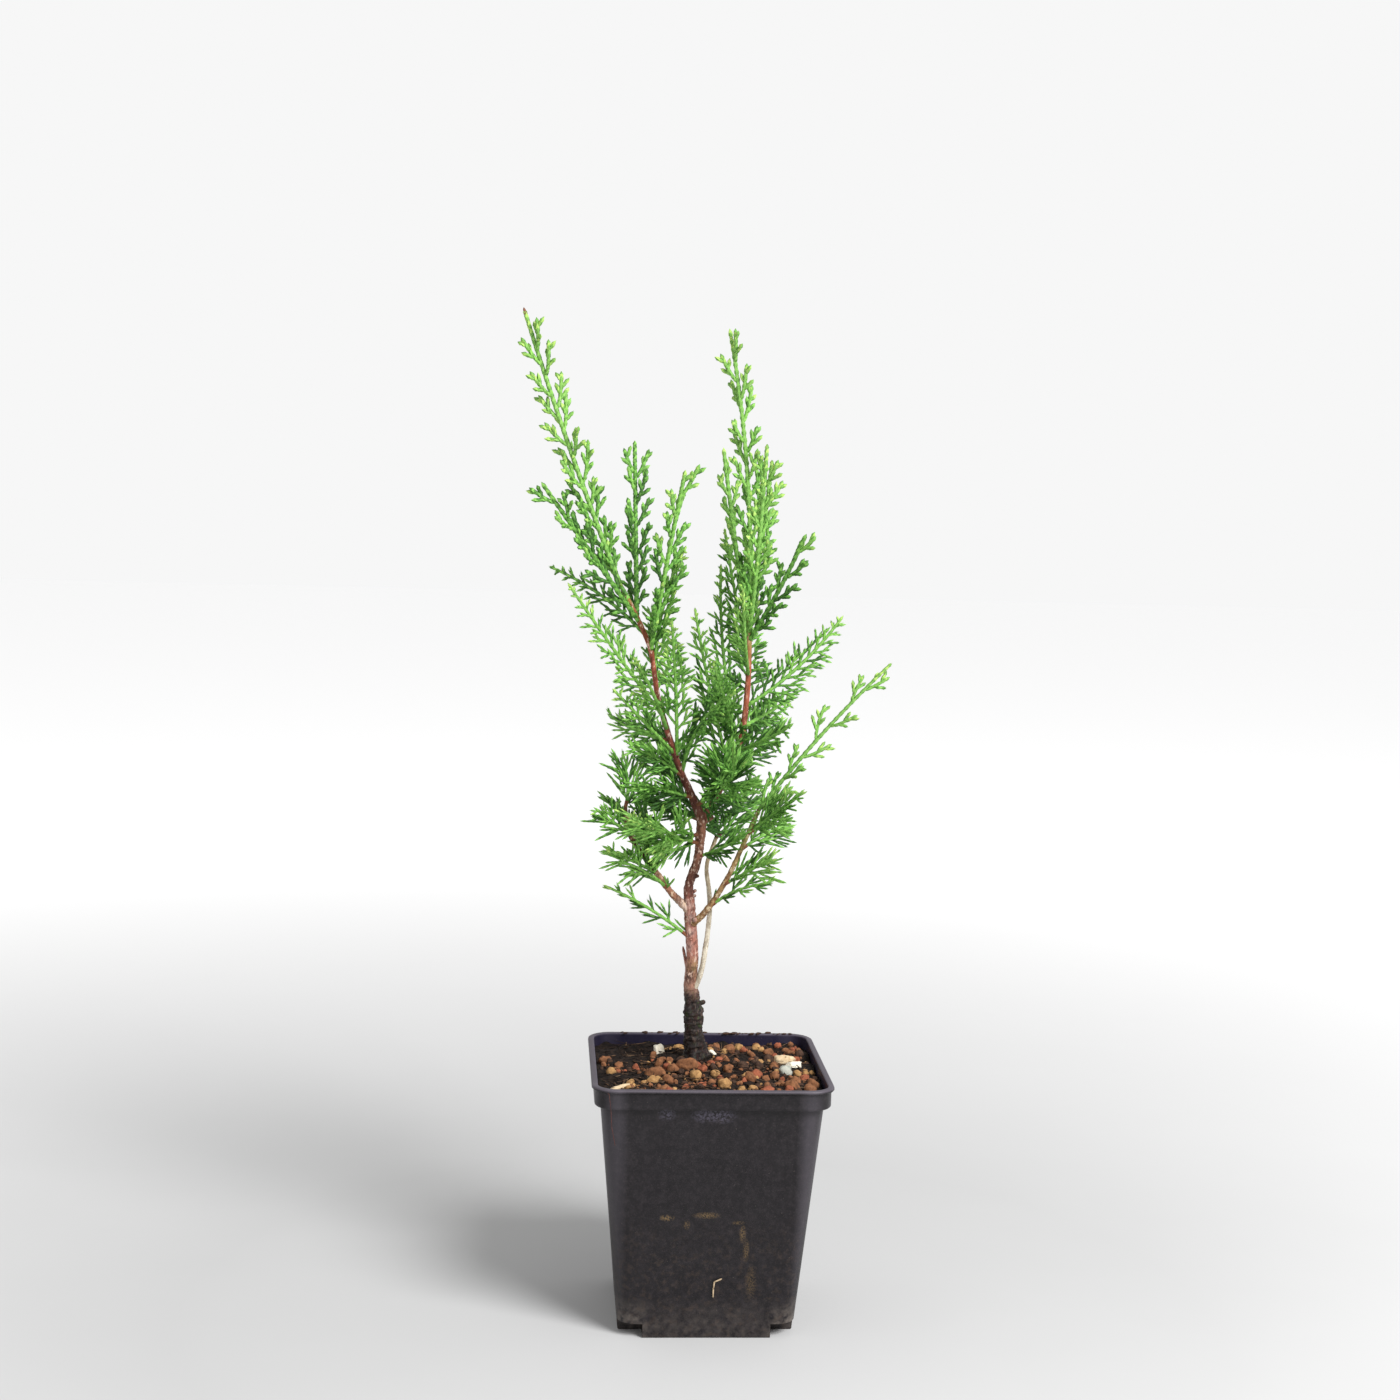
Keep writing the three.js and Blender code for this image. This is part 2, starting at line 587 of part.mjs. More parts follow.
function foliage({ name, limb, reach, twigs, habit }, index) {
  const draw = seeded(1009 + 97 * index);
  const spread = (amount) => amount * (2 * draw() - 1);
  const { stem, side, face } = frames[index];

  const claim = (a, b) => {
    if (!isClear(a, b, SHOOT_WIDTH / 2, name)) return false;
    taken.push({ owner: name, a, b, radius: SHOOT_WIDTH / 2 });
    return true;
  };

  const stemList = [];
  for (let i = 0; i <= STEM_STEPS; i++) {
    const t = i / STEM_STEPS;
    stemList.push({ at: stem(t), radius: i === STEM_STEPS ? 0 : stemRadius(t) });
  }
  const pieces = [loft(tube(stemList, 3))];

  for (let i = 0; i < twigs; i++) {
    const t = lerp(TWIG_ZONE[0], TWIG_ZONE[1], (i + 0.5 + spread(0.2)) / twigs);
    const hand = i % 2 ? 1 : -1;
    const root = stem(t);
    const along = stem(t + 0.02).sub(stem(t - 0.02)).normalize();
    const tilt = rad(spread(TWIG_TILT));
    const away = side.clone().multiplyScalar(hand * Math.cos(tilt)).addScaledVector(face, Math.sin(tilt));
    const lean = rad(habit.lean + spread(6));
    const out = along.clone().multiplyScalar(Math.cos(lean)).addScaledVector(away, Math.sin(lean));
    out.normalize();
    const across = out.clone().cross(along.clone().cross(away)).normalize();
    across.applyAxisAngle(out, rad(spread(BLADE_TWIST)));
    const spot = (x, y) => root.clone().addScaledVector(out, x).addScaledVector(across, y);
    const long = reach * twigShare(t) * (0.85 + 0.3 * draw());
    if (!claim(root, spot(long, 0))) continue;

    const count = Math.floor(long / habit.spacing);
    const shoots = [];
    for (let k = 0; k < count; k++) {
      const from = (long * (k + 0.9)) / (count + 0.9);
      const shootHand = k % 2 ? 1 : -1;
      const splay = rad(SHOOT_SPLAY + spread(8));
      const shootLong = habit.shoot * (0.8 + 0.4 * draw()) * (1 - (0.35 * from) / long);
      const tip = [from + shootLong * Math.cos(splay), shootHand * shootLong * Math.sin(splay)];
      if (claim(spot(from, 0), spot(...tip))) shoots.push({ from, hand: shootHand, tip });
    }
    pieces.push(twigBlade(root, out, across, long, shoots));
  }
  return wholePiece(join(pieces).subtract(cutters[limb]));
}

// The whole plant in its pot

const MATERIALS = {
  plastic: { color: 0x2d2b2f, roughness: 0.5, metalness: 0 },
  compost: { color: 0x4a3226, roughness: 1, metalness: 0 },
  bark: { color: 0x7d5246, roughness: 0.9, metalness: 0 },
  pale_bark: { color: 0xc4b394, roughness: 0.85, metalness: 0 },
  tip_green: { color: 0x7fc35a, roughness: 0.7, metalness: 0 },
  deep_green: { color: 0x3f7a38, roughness: 0.75, metalness: 0 },
};

const plant = new THREE.Group();

function place(name, solid, finish) {
  const mesh = new THREE.Mesh(toGeometry(solid), new THREE.MeshStandardMaterial(MATERIALS[finish]));
  mesh.name = name;
  plant.add(mesh);
}

place('pot', pot(), 'plastic');
place('soil', soil(), 'compost');
for (const [name, limb] of Object.entries(LIMBS)) place(name, limbPiece(name), limb.finish);
MASSES.forEach((row, index) => {
  place(`foliage_${row.name}`, foliage(row, index), row.habit.finish);
});

export default plant;
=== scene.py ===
# A young Itoigawa Chinese juniper in its square nursery pot, dressed piece by piece in the order in which
# the real one comes together: pot, compost, wood, foliage, and then the plain studio round it. Lengths
# are in millimetres until a mesh is made. The pot's front looks along -Y, and +Z is up.
import math

import bmesh
import bpy
import numpy as np
from mathutils import Matrix, Quaternion, Vector, noise


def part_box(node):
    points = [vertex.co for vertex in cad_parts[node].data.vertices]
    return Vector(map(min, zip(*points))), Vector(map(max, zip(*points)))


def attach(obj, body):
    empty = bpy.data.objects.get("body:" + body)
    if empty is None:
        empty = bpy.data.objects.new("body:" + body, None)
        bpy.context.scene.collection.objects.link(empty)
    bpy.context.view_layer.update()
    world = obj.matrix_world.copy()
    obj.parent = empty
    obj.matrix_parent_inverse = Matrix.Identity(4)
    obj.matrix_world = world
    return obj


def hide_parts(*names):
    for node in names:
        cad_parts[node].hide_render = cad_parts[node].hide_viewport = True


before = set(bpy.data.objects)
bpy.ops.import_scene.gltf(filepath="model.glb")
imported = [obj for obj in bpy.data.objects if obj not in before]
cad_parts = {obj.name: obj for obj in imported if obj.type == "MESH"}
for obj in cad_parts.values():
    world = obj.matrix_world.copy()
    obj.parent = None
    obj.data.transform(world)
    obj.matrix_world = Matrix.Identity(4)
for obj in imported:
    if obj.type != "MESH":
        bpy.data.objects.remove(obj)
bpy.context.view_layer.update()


# Pot
# A square nursery pot, one thin moulding of black polypropylene: tapering walls, a plain band below a
# flat lip, and a cross-shaped foot between four raised corners. It is scuffed, dusty and stained by
# watering near the foot, and painted highlights lie next to its corners and along its lip.
MM = 0.001
pot_low, pot_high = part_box("pot")
POT_HEIGHT = pot_high.z / MM
LIP_WIDTH = (pot_high.x - pot_low.x) / MM
POT_WALL = 1.2
LIP_THICK = 1.6
BAND_WIDTH = 87.8
BAND_HEIGHT = 6.2
BODY_TOP_WIDTH = 83
BODY_FOOT_WIDTH = 66
BAND_FOOT = POT_HEIGHT - LIP_THICK - BAND_HEIGHT
NOTCH_HEIGHT = 5.5
TONGUE_WIDTH = 48
EDGE = 0.4
WALL_BOW = 0.5
WALL_LEVELS = 14
LIP_CORNER = 9.5
BAND_CORNER = 8.5
BODY_TOP_CORNER = 8
FOOT_CORNER = 7.5
INNER_CORNER = 7.3
CORNER_STEPS = 9
SIDE_STEPS = 14
INNER_LEVELS = 4


def rounded_square(width, corner, z):
    """One level ring of the pot, with points along its straight sides as well as round its corners."""
    reach = width / 2 - corner
    ring = []
    for quarter in range(4):
        middle = math.radians(45 + 90 * quarter)
        cx, cy = math.copysign(reach, math.cos(middle)), math.copysign(reach, math.sin(middle))
        for step in range(CORNER_STEPS + 1):
            angle = math.radians(90 * quarter + 90 * step / CORNER_STEPS)
            ring.append((cx + corner * math.cos(angle), cy + corner * math.sin(angle), z))
        along = math.radians(180 + 90 * quarter)
        x, y, _ = ring[-1]
        for step in range(1, SIDE_STEPS):
            share = 2 * reach * step / SIDE_STEPS
            ring.append((x + share * math.cos(along), y + share * math.sin(along), z))
    return ring


def loft(rings):
    """Points and faces of a closed skin over rings that all have the same number of points."""
    points = np.array(rings, float).reshape(-1, 3)
    count, sides = len(rings), len(rings[0])
    faces = []
    for i in range(count - 1):
        for k in range(sides):
            n = (k + 1) % sides
            faces.append((i * sides + k, i * sides + n, (i + 1) * sides + n, (i + 1) * sides + k))
    faces.append(tuple(range(sides))[::-1])
    faces.append(tuple(range((count - 1) * sides, count * sides)))
    return points, faces


def shaped(name, points, faces, material=None):
    """A smooth-shaded mesh object from points in millimetres."""
    mesh = bpy.data.meshes.new(name)
    mesh.from_pydata(np.asarray(points, float) * MM, [], faces)
    mesh.validate()
    if material:
        mesh.materials.append(material)
    mesh.shade_smooth()
    piece = bpy.data.objects.new(name, mesh)
    bpy.context.scene.collection.objects.link(piece)
    return piece


def placed(piece, slot, *nodes):
    """The piece belongs to the plant and stands for these solids. Its slot is not used."""
    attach(piece, "root")
    if nodes:
        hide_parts(*nodes)
    return piece


def wall_ring(z, inset=0.0):
    """A ring of the tapering wall, its four sides drawn in a little at half height."""
    share = z / BAND_FOOT
    width = BODY_FOOT_WIDTH + (BODY_TOP_WIDTH - BODY_FOOT_WIDTH) * share - 2 * inset
    corner = FOOT_CORNER + (BODY_TOP_CORNER - FOOT_CORNER) * share - inset
    bow = WALL_BOW * math.sin(math.pi * min(1, max(0, share)))
    ring = []
    for x, y, height in rounded_square(width, corner, z):
        side_x, side_y = abs(abs(x) - width / 2) < 0.01, abs(abs(y) - width / 2) < 0.01
        along = y if side_x else x
        pull = bow * (1 - (2 * along / width) ** 2)
        ring.append((x - math.copysign(pull, x) * side_x, y - math.copysign(pull, y) * side_y, height))
    return ring


def cut_away(piece, tool):
    """Takes the tool's space out of the piece for good."""
    step = piece.modifiers.new("cut", "BOOLEAN")
    step.operation, step.object, step.solver = "DIFFERENCE", tool, "EXACT"
    bpy.context.view_layer.update()
    seen = piece.evaluated_get(bpy.context.evaluated_depsgraph_get())
    piece.data = bpy.data.meshes.new_from_object(seen)
    piece.modifiers.clear()
    bpy.data.objects.remove(tool)


lip_foot = POT_HEIGHT - LIP_THICK
inner_width = BAND_WIDTH - 2 * POT_WALL
pot_rings = [rounded_square(BODY_FOOT_WIDTH - 2 * EDGE, FOOT_CORNER - EDGE, 0)]
pot_rings += [wall_ring(EDGE + (BAND_FOOT - EDGE) * i / WALL_LEVELS) for i in range(WALL_LEVELS + 1)]
for z, width, corner in (
    # the band, the lip's outer edge, its top, and the inside down to the walls
    (BAND_FOOT + 0.1, BAND_WIDTH - 0.8, BAND_CORNER - 0.3),
    (BAND_FOOT + 0.5, BAND_WIDTH - 0.1, BAND_CORNER),
    (BAND_FOOT + 1.2, BAND_WIDTH, BAND_CORNER),
    (lip_foot - 0.3, BAND_WIDTH, BAND_CORNER),
    (lip_foot, BAND_WIDTH + 0.4, BAND_CORNER + 0.2),
    (lip_foot + 0.1, LIP_WIDTH - 0.7, LIP_CORNER - 0.3),
    (lip_foot + 0.5, LIP_WIDTH, LIP_CORNER),
    (POT_HEIGHT - 0.6, LIP_WIDTH, LIP_CORNER),
    (POT_HEIGHT - 0.2, LIP_WIDTH - 0.3, LIP_CORNER - 0.1),
    (POT_HEIGHT, LIP_WIDTH - 1.0, LIP_CORNER - 0.4),
    (POT_HEIGHT, inner_width + 0.6, INNER_CORNER + 0.3),
    (POT_HEIGHT - 0.3, inner_width, INNER_CORNER),
    (BAND_FOOT + POT_WALL + 0.8, inner_width, INNER_CORNER),
):
    pot_rings.append(rounded_square(width, corner, z))
pot_rings += [wall_ring(BAND_FOOT * (1 - i / INNER_LEVELS), POT_WALL) for i in range(INNER_LEVELS)]
pot_rings.append(wall_ring(NOTCH_HEIGHT + 2 * POT_WALL, POT_WALL))


def node(tree, kind, inputs=None, **settings):
    """A shader node. An input is a value, or the socket that feeds it."""
    made = tree.nodes.new(kind)
    for key, value in settings.items():
        setattr(made, key, value)
    for key, value in (inputs or {}).items():
        if isinstance(value, bpy.types.NodeSocket):
            tree.links.new(value, made.inputs[key])
        else:
            made.inputs[key].default_value = value
    return made


def effect(name, inputs, outputs):
    """An empty shader node group with named sockets: its tree, its inputs and its outputs."""
    tree = bpy.data.node_groups.new(name, "ShaderNodeTree")
    for socket, kind, value in inputs:
        made = tree.interface.new_socket(socket, in_out="INPUT", socket_type="NodeSocket" + kind)
        made.default_value = value
    for socket, kind in outputs:
        tree.interface.new_socket(socket, in_out="OUTPUT", socket_type="NodeSocket" + kind)
    return tree, node(tree, "NodeGroupInput").outputs, node(tree, "NodeGroupOutput").inputs


def rgb(red, green, blue):
    """A colour from its screen values, 0 to 255, as a shader wants it."""
    return tuple(c / 255 / 12.92 if c < 10 else ((c / 255 + 0.055) / 1.055) ** 2.4
                 for c in (red, green, blue)) + (1,)


def mixed(tree, factor, first, second):
    """The socket of a blend from a first to a second colour."""
    return node(tree, "ShaderNodeMix", {0: factor, 6: first, 7: second}, data_type="RGBA").outputs[2]


def arithmetic(tree, operation, first, second=0.0, clamp=False):
    made = node(tree, "ShaderNodeMath", {0: first, 1: second}, operation=operation, use_clamp=clamp)
    return made.outputs[0]


def times(tree, first, second):
    return arithmetic(tree, "MULTIPLY", first, second)


def vector(tree, operation, first, second=(0, 0, 0)):
    """Vector arithmetic. A length or a dot product comes out as a plain value."""
    made = node(tree, "ShaderNodeVectorMath", {0: first, 1: second}, operation=operation)
    return made.outputs["Value" if operation in ("LENGTH", "DOT_PRODUCT") else "Vector"]


def between(tree, value, low, high, to_low, to_high):
    """A value carried from one range to another and held there."""
    return node(tree, "ShaderNodeMapRange", {"Value": value, "From Min": low, "From Max": high,
                                             "To Min": to_low, "To Max": to_high}).outputs[0]


def own_place(tree):
    """The place on the piece, in metres."""
    return node(tree, "ShaderNodeTexCoord").outputs["Object"]


def cloud(tree, g_in, detail, roughness):
    """The noise that the effects share, with its size and its stretch in millimetres."""
    place = vector(tree, "MULTIPLY", own_place(tree), (1 / MM,) * 3)
    place = vector(tree, "DIVIDE", place, g_in["Stretch"])
    size = arithmetic(tree, "DIVIDE", 1.0, g_in["Size"])
    return node(tree, "ShaderNodeTexNoise", {"Vector": place, "Scale": size, "Detail": detail,
                                             "Roughness": roughness}).outputs["Fac"]


# Cloudy change between two colours
MOTTLE, g_in, g_out = effect(
    "Mottle",
    [("Size", "Float", 2.0), ("Stretch", "Vector", (1, 1, 1)), ("Low", "Float", 0.35),
     ("High", "Float", 0.65), ("First", "Color", (0, 0, 0, 1)), ("Second", "Color", (1, 1, 1, 1))],
    [("Color", "Color"), ("Mask", "Float")])
g_mask = between(MOTTLE, cloud(MOTTLE, g_in, 4.0, 0.6), g_in["Low"], g_in["High"], 0, 1)
MOTTLE.links.new(mixed(MOTTLE, g_mask, g_in["First"], g_in["Second"]), g_out["Color"])
MOTTLE.links.new(g_mask, g_out["Mask"])

# Fine uneven grain, as the height of a bump
GRAIN, g_in, g_out = effect(
    "Grain", [("Size", "Float", 0.5), ("Stretch", "Vector", (1, 1, 1))], [("Height", "Float")])
GRAIN.links.new(cloud(GRAIN, g_in, 6.0, 0.65), g_out["Height"])

# Dust in patches, and more of it on what faces up
DUST, g_in, g_out = effect(
    "Dust",
    [("Color", "Color", (0, 0, 0, 1)), ("Dust", "Color", (1, 1, 1, 1)), ("Size", "Float", 6.0),
     ("Stretch", "Vector", (1, 1, 1)), ("Low", "Float", 0.5), ("High", "Float", 0.8),
     ("Lying", "Float", 0.3), ("Amount", "Float", 0.5)],
    [("Color", "Color"), ("Mask", "Float")])
g_patch = between(DUST, cloud(DUST, g_in, 5.0, 0.65), g_in["Low"], g_in["High"], 0, 1)
g_normal = node(DUST, "ShaderNodeNewGeometry").outputs["Normal"]
g_up = node(DUST, "ShaderNodeSeparateXYZ", {0: g_normal}).outputs["Z"]
g_lying = arithmetic(DUST, "MULTIPLY", g_up, g_in["Lying"], clamp=True)
g_mask = times(DUST, arithmetic(DUST, "ADD", g_patch, g_lying, clamp=True), g_in["Amount"])
DUST.links.new(mixed(DUST, g_mask, g_in["Color"], g_in["Dust"]), g_out["Color"])
DUST.links.new(g_mask, g_out["Mask"])


def use(tree, group, **inputs):
    """A group placed in a material with its own values, as its outputs."""
    return node(tree, "ShaderNodeGroup", inputs, node_tree=group).outputs


def new_finish(name, **constants):
    """A material with its node tree and its shader, whose even values are set on the shader."""
    material = bpy.data.materials.new(name)
    material.use_nodes = True
    shader = material.node_tree.nodes["Principled BSDF"]
    for key, value in constants.items():
        shader.inputs[key.replace("_", " ")].default_value = value
    return material, material.node_tree, shader


def raised(tree, shader, height, depth):
    """A bump of a depth in millimetres under the shader."""
    bump = node(tree, "ShaderNodeBump", {"Height": height, "Distance": depth * MM, "Strength": 1.0})
    tree.links.new(bump.outputs["Normal"], shader.inputs["Normal"])


def near(tree, place, reach, shape=(1, 1, 1)):
    """A mask that fades out round a place, in millimetres, with its proportions."""
    away = vector(tree, "SUBTRACT", own_place(tree), Vector(place) * MM)
    away = vector(tree, "LENGTH", vector(tree, "DIVIDE", away, shape))
    return between(tree, away, reach * MM, 0.3 * reach * MM, 0, 1)


plastic, tree, shader = new_finish("pot_plastic", Specular_IOR_Level=0.28)
colour = use(tree, MOTTLE, Size=9.0, First=rgb(20, 17, 20), Second=rgb(27, 24, 27))["Color"]
film = use(tree, DUST, Color=colour, Dust=rgb(84, 76, 80), Size=2.4, Low=0.45, High=0.9, Lying=0.35,
           Amount=0.25)
fine = use(tree, MOTTLE, Size=0.7, Low=0.52, High=0.7)["Mask"]
colour = mixed(tree, times(tree, fine, 0.13), film["Color"], rgb(90, 80, 84))
axes = node(tree, "ShaderNodeSeparateXYZ", {0: own_place(tree)}).outputs
z = axes["Z"]
# The walls are painted a little paler next to their corners and along the lip's top edge, as painted
# highlights. They are dusty round the foot and bluish inside. Aside is how far a place on a wall is from
# the middle of that wall.
HIGHLIGHT_START, HIGHLIGHT_FULL, HIGHLIGHT_FADE, HIGHLIGHT_END = 31, 35, 37, 41
DUST_TOP, DUST_FULL = 16, 6
DUST_THIN, DUST_THICK = 22, 31
STAIN_TOP, STAIN_FULL = 50, 30
across, along = (arithmetic(tree, "ABSOLUTE", axes[axis]) for axis in "XY")
aside = arithmetic(tree, "MINIMUM", across, along)
# Painted highlight: the walls are made paler next to their corners.
corner_highlight = times(tree, between(tree, aside, HIGHLIGHT_START * MM, HIGHLIGHT_FULL * MM, 0, 1),
               between(tree, aside, HIGHLIGHT_END * MM, HIGHLIGHT_FADE * MM, 0, 1))
colour = mixed(tree, times(tree, corner_highlight, 0.16), colour, rgb(128, 122, 132))
level = node(tree, "ShaderNodeCombineXYZ", {0: axes["X"], 1: axes["Y"]}).outputs[0]
normal = node(tree, "ShaderNodeNewGeometry").outputs["Normal"]
outward = vector(tree, "DOT_PRODUCT", level, normal)
inside = times(tree, between(tree, outward, 0, -10 * MM, 0, 1),
               between(tree, z, BAND_FOOT * MM, (BAND_FOOT + 0.5) * MM, 0, 0.5))
colour = mixed(tree, inside, colour, rgb(44, 40, 72))
# Painted highlight: a pale line along the lip's top edge.
lip_edge_highlight = between(tree, z, (POT_HEIGHT - 0.9) * MM, (POT_HEIGHT - 0.3) * MM, 0, 0.4)
colour = mixed(tree, lip_edge_highlight, colour, rgb(124, 116, 128))
cloudy = use(tree, MOTTLE, Size=3.0)["Mask"]
foot_dust = times(tree, cloudy, between(tree, z, DUST_TOP * MM, DUST_FULL * MM, 0, 0.75))
foot_dust = times(tree, foot_dust, between(tree, aside, DUST_THIN * MM, DUST_THICK * MM, 0.25, 1))
colour = mixed(tree, foot_dust, colour, rgb(126, 116, 108))
low_down = between(tree, z, STAIN_TOP * MM, STAIN_FULL * MM, 0, 0.25)
stain = times(tree, use(tree, MOTTLE, Size=2.2, Low=0.5, High=0.7)["Mask"], low_down)
colour = mixed(tree, stain, colour, rgb(86, 70, 58))
# Water stains and scuffs on the front: middle, reach, proportions, size of the grain, colour and share
SCUFF, STAIN = rgb(128, 122, 142), rgb(128, 104, 68)
MARKS = [
    ((-17.2, -42, 88), 4, (1, 1, 0.8), 0.9, SCUFF, 0.3),
    ((-3.2, -42, 87.6), 5, (1.2, 1, 0.7), 0.9, SCUFF, 0.28),
    ((3.4, -42, 87.4), 5, (1.2, 1, 0.7), 0.9, SCUFF, 0.32),
    ((-16.1, -38, 47.4), 3.4, (1, 1, 0.45), 0.8, STAIN, 0.75),
    ((-8.6, -38, 44.6), 2.6, (0.6, 1, 1), 0.6, STAIN, 0.6),
    ((-1.3, -38, 48.4), 6, (1, 1, 0.25), 0.5, STAIN, 0.6),
    ((10.6, -38, 45.5), 2.6, (1.3, 1, 0.4), 0.5, STAIN, 0.5),
    ((12.3, -38, 41), 4, (0.4, 1, 1.1), 0.5, STAIN, 0.7),
    ((13.8, -37, 34.5), 5, (0.3, 1, 1.1), 0.45, STAIN, 0.5),
    ((16, -36, 22), 8, (0.3, 1, 1), 0.6, STAIN, 0.3),
]
for place, reach, shape, grain, tone, share in MARKS:
    broken = use(tree, MOTTLE, Size=grain, Low=0.42, High=0.58)["Mask"]
    there = times(tree, broken, near(tree, place, reach, shape))
    colour = mixed(tree, times(tree, there, share), colour, tone)
speck = use(tree, MOTTLE, Size=0.9, Low=0.7, High=0.75)["Mask"]
colour = mixed(tree, times(tree, speck, 0.45), colour, rgb(138, 128, 120))
tree.links.new(colour, shader.inputs["Base Color"])
tree.links.new(between(tree, film["Mask"], 0, 0.5, 0.42, 0.64), shader.inputs["Roughness"])
raised(tree, shader, use(tree, GRAIN, Size=0.6)["Height"], 0.06)

pot = shaped("nursery_pot", *loft(pot_rings), plastic)
for sx in (-1, 1):
    for sy in (-1, 1):
        inner, outer = TONGUE_WIDTH / 2, LIP_WIDTH / 2
        square = ((inner, inner), (outer, inner), (outer, outer), (inner, outer))
        ring = [(sx * x, sy * y) for x, y in square]
        block = [[(x, y, z) for x, y in ring[::sx * sy]] for z in (-2, NOTCH_HEIGHT)]
        cut_away(pot, shaped("corner", *loft(block)))
pot.data.shade_smooth()
pot.data.set_sharp_from_angle(angle=math.radians(40))
placed(pot, "pot_plastic", "pot")


# Compost
# Dark fibrous compost fills the pot to just under its lip and is heaped a little at the trunk. It is a
# loose mix, so its surface is all small lumps, and fibres and shreds of bark lie over it.
SOIL_LEVEL = 93.2
TRUNK_FOOT = (-3.4, 10)
MOUND_HEIGHT = 2.8
MOUND_RADIUS = 27
MOUND_FLAT = 9
SOIL_LUMP = 0.7
SOIL_WIDTH = 84.9
SOIL_CORNER = 7
SOIL_GRID = 120
# The plug's sides go down inside the walls: level and width
SOIL_SKIRT = [(90.6, 79.9), (60, 74.2)]


def seeded(seed):
    """Draws between 0 and 1 that are the same on every run."""
    state = seed
    while True:
        state = state * 16807 % 2147483647
        yield state / 2147483647


def soil_height(x, y):
    away = math.hypot(x - TRUNK_FOOT[0], y - TRUNK_FOOT[1])
    slope = min(1, max(0, (away - MOUND_FLAT) / (MOUND_RADIUS - MOUND_FLAT)))
    mound = MOUND_HEIGHT * (0.5 + 0.5 * math.cos(math.pi * slope))
    lumps = math.sin(0.41 * x + 1.3) * math.cos(0.37 * y - 0.6) + math.sin(0.23 * x - 0.31 * y)
    return SOIL_LEVEL + mound + SOIL_LUMP * lumps * slope


def crumbled(x, y):
    """The compost's height with its crumbs, which are left out at the pot's wall."""
    crumbs = 0
    for size, depth in ((3.1, 0.7), (1.3, 0.45), (0.6, 0.2)):
        crumbs += depth * noise.noise(Vector((x / size, y / size, 5 * size)))
    return soil_height(x, y) + crumbs


def inside_square(x, y, width, corner):
    """The nearest place inside a square with round corners."""
    reach = width / 2 - corner
    cx, cy = min(reach, max(-reach, x)), min(reach, max(-reach, y))
    away = math.hypot(x - cx, y - cy)
    scale = min(1, corner / away) if away else 1
    return cx + (x - cx) * scale, cy + (y - cy) * scale


soil_points = []
for row in range(SOIL_GRID + 1):
    for column in range(SOIL_GRID + 1):
        x, y = ((k / SOIL_GRID - 0.5) * SOIL_WIDTH for k in (column, row))
        x, y = inside_square(x, y, SOIL_WIDTH, SOIL_CORNER)
        soil_points.append((x, y, crumbled(x, y)))
span = SOIL_GRID + 1
soil_faces = [(r * span + c, r * span + c + 1, (r + 1) * span + c + 1, (r + 1) * span + c)
              for r in range(SOIL_GRID) for c in range(SOIL_GRID)]
edge = list(range(span)) + [r * span + SOIL_GRID for r in range(1, span)]
edge += [SOIL_GRID * span + c for c in range(SOIL_GRID - 1, -1, -1)]
edge += [r * span for r in range(SOIL_GRID - 1, 0, -1)]
loop = edge
for level, width in SOIL_SKIRT:
    start = len(soil_points)
    narrower = width / SOIL_WIDTH
    soil_points += [(soil_points[i][0] * narrower, soil_points[i][1] * narrower, level) for i in edge]
    below = list(range(start, len(soil_points)))
    soil_faces += [(loop[k], below[k], below[(k + 1) % len(loop)], loop[(k + 1) % len(loop)])
                   for k in range(len(loop))]
    loop = below
soil_faces.append(tuple(reversed(loop)))


def mottled(name, first, second, size, grain, depth, roughness, shine=0.2, low=0.35, high=0.65,
            stretch=(1, 1, 1)):
    """A finish that wanders between two colours, with a fine grain standing out of it."""
    finish, tree, shader = new_finish(name, Roughness=roughness, Specular_IOR_Level=shine)
    colour = use(tree, MOTTLE, Size=size, First=first, Second=second, Low=low, High=high)
    tree.links.new(colour["Color"], shader.inputs["Base Color"])
    raised(tree, shader, use(tree, GRAIN, Size=grain, Stretch=stretch)["Height"], depth)
    return finish


compost = mottled("compost", rgb(26, 22, 21), rgb(56, 44, 37), size=1.8, grain=0.7, depth=0.5,
                  roughness=0.95, low=0.42, high=0.7)
placed(shaped("compost_surface", soil_points, soil_faces, compost), "compost", "soil")

# A line in the arrays below is root (0:3), direction (3:6), bend (6:9), across (9:12), length, and its
# radius at the root and at the end. The place at a length s along it is root + direction s + bend s².
LENGTH, ROOT_RADIUS, END_RADIUS = 12, 13, 14


def unit(vectors):
    return vectors / np.linalg.norm(vectors, axis=-1, keepdims=True)


def along_lines(rows, s):
    """Places on lines with the frame there: ahead, across, and square to both. s is a length for each."""
    root, out, bend, across = (rows[:, i:i + 3][:, None] for i in (0, 3, 6, 9))
    s = s[..., None]
    ahead = unit(out + 2 * bend * s)
    across = unit(across - ahead * (across * ahead).sum(-1, keepdims=True))
    return root + out * s + bend * s * s, ahead, across, np.cross(ahead, across)


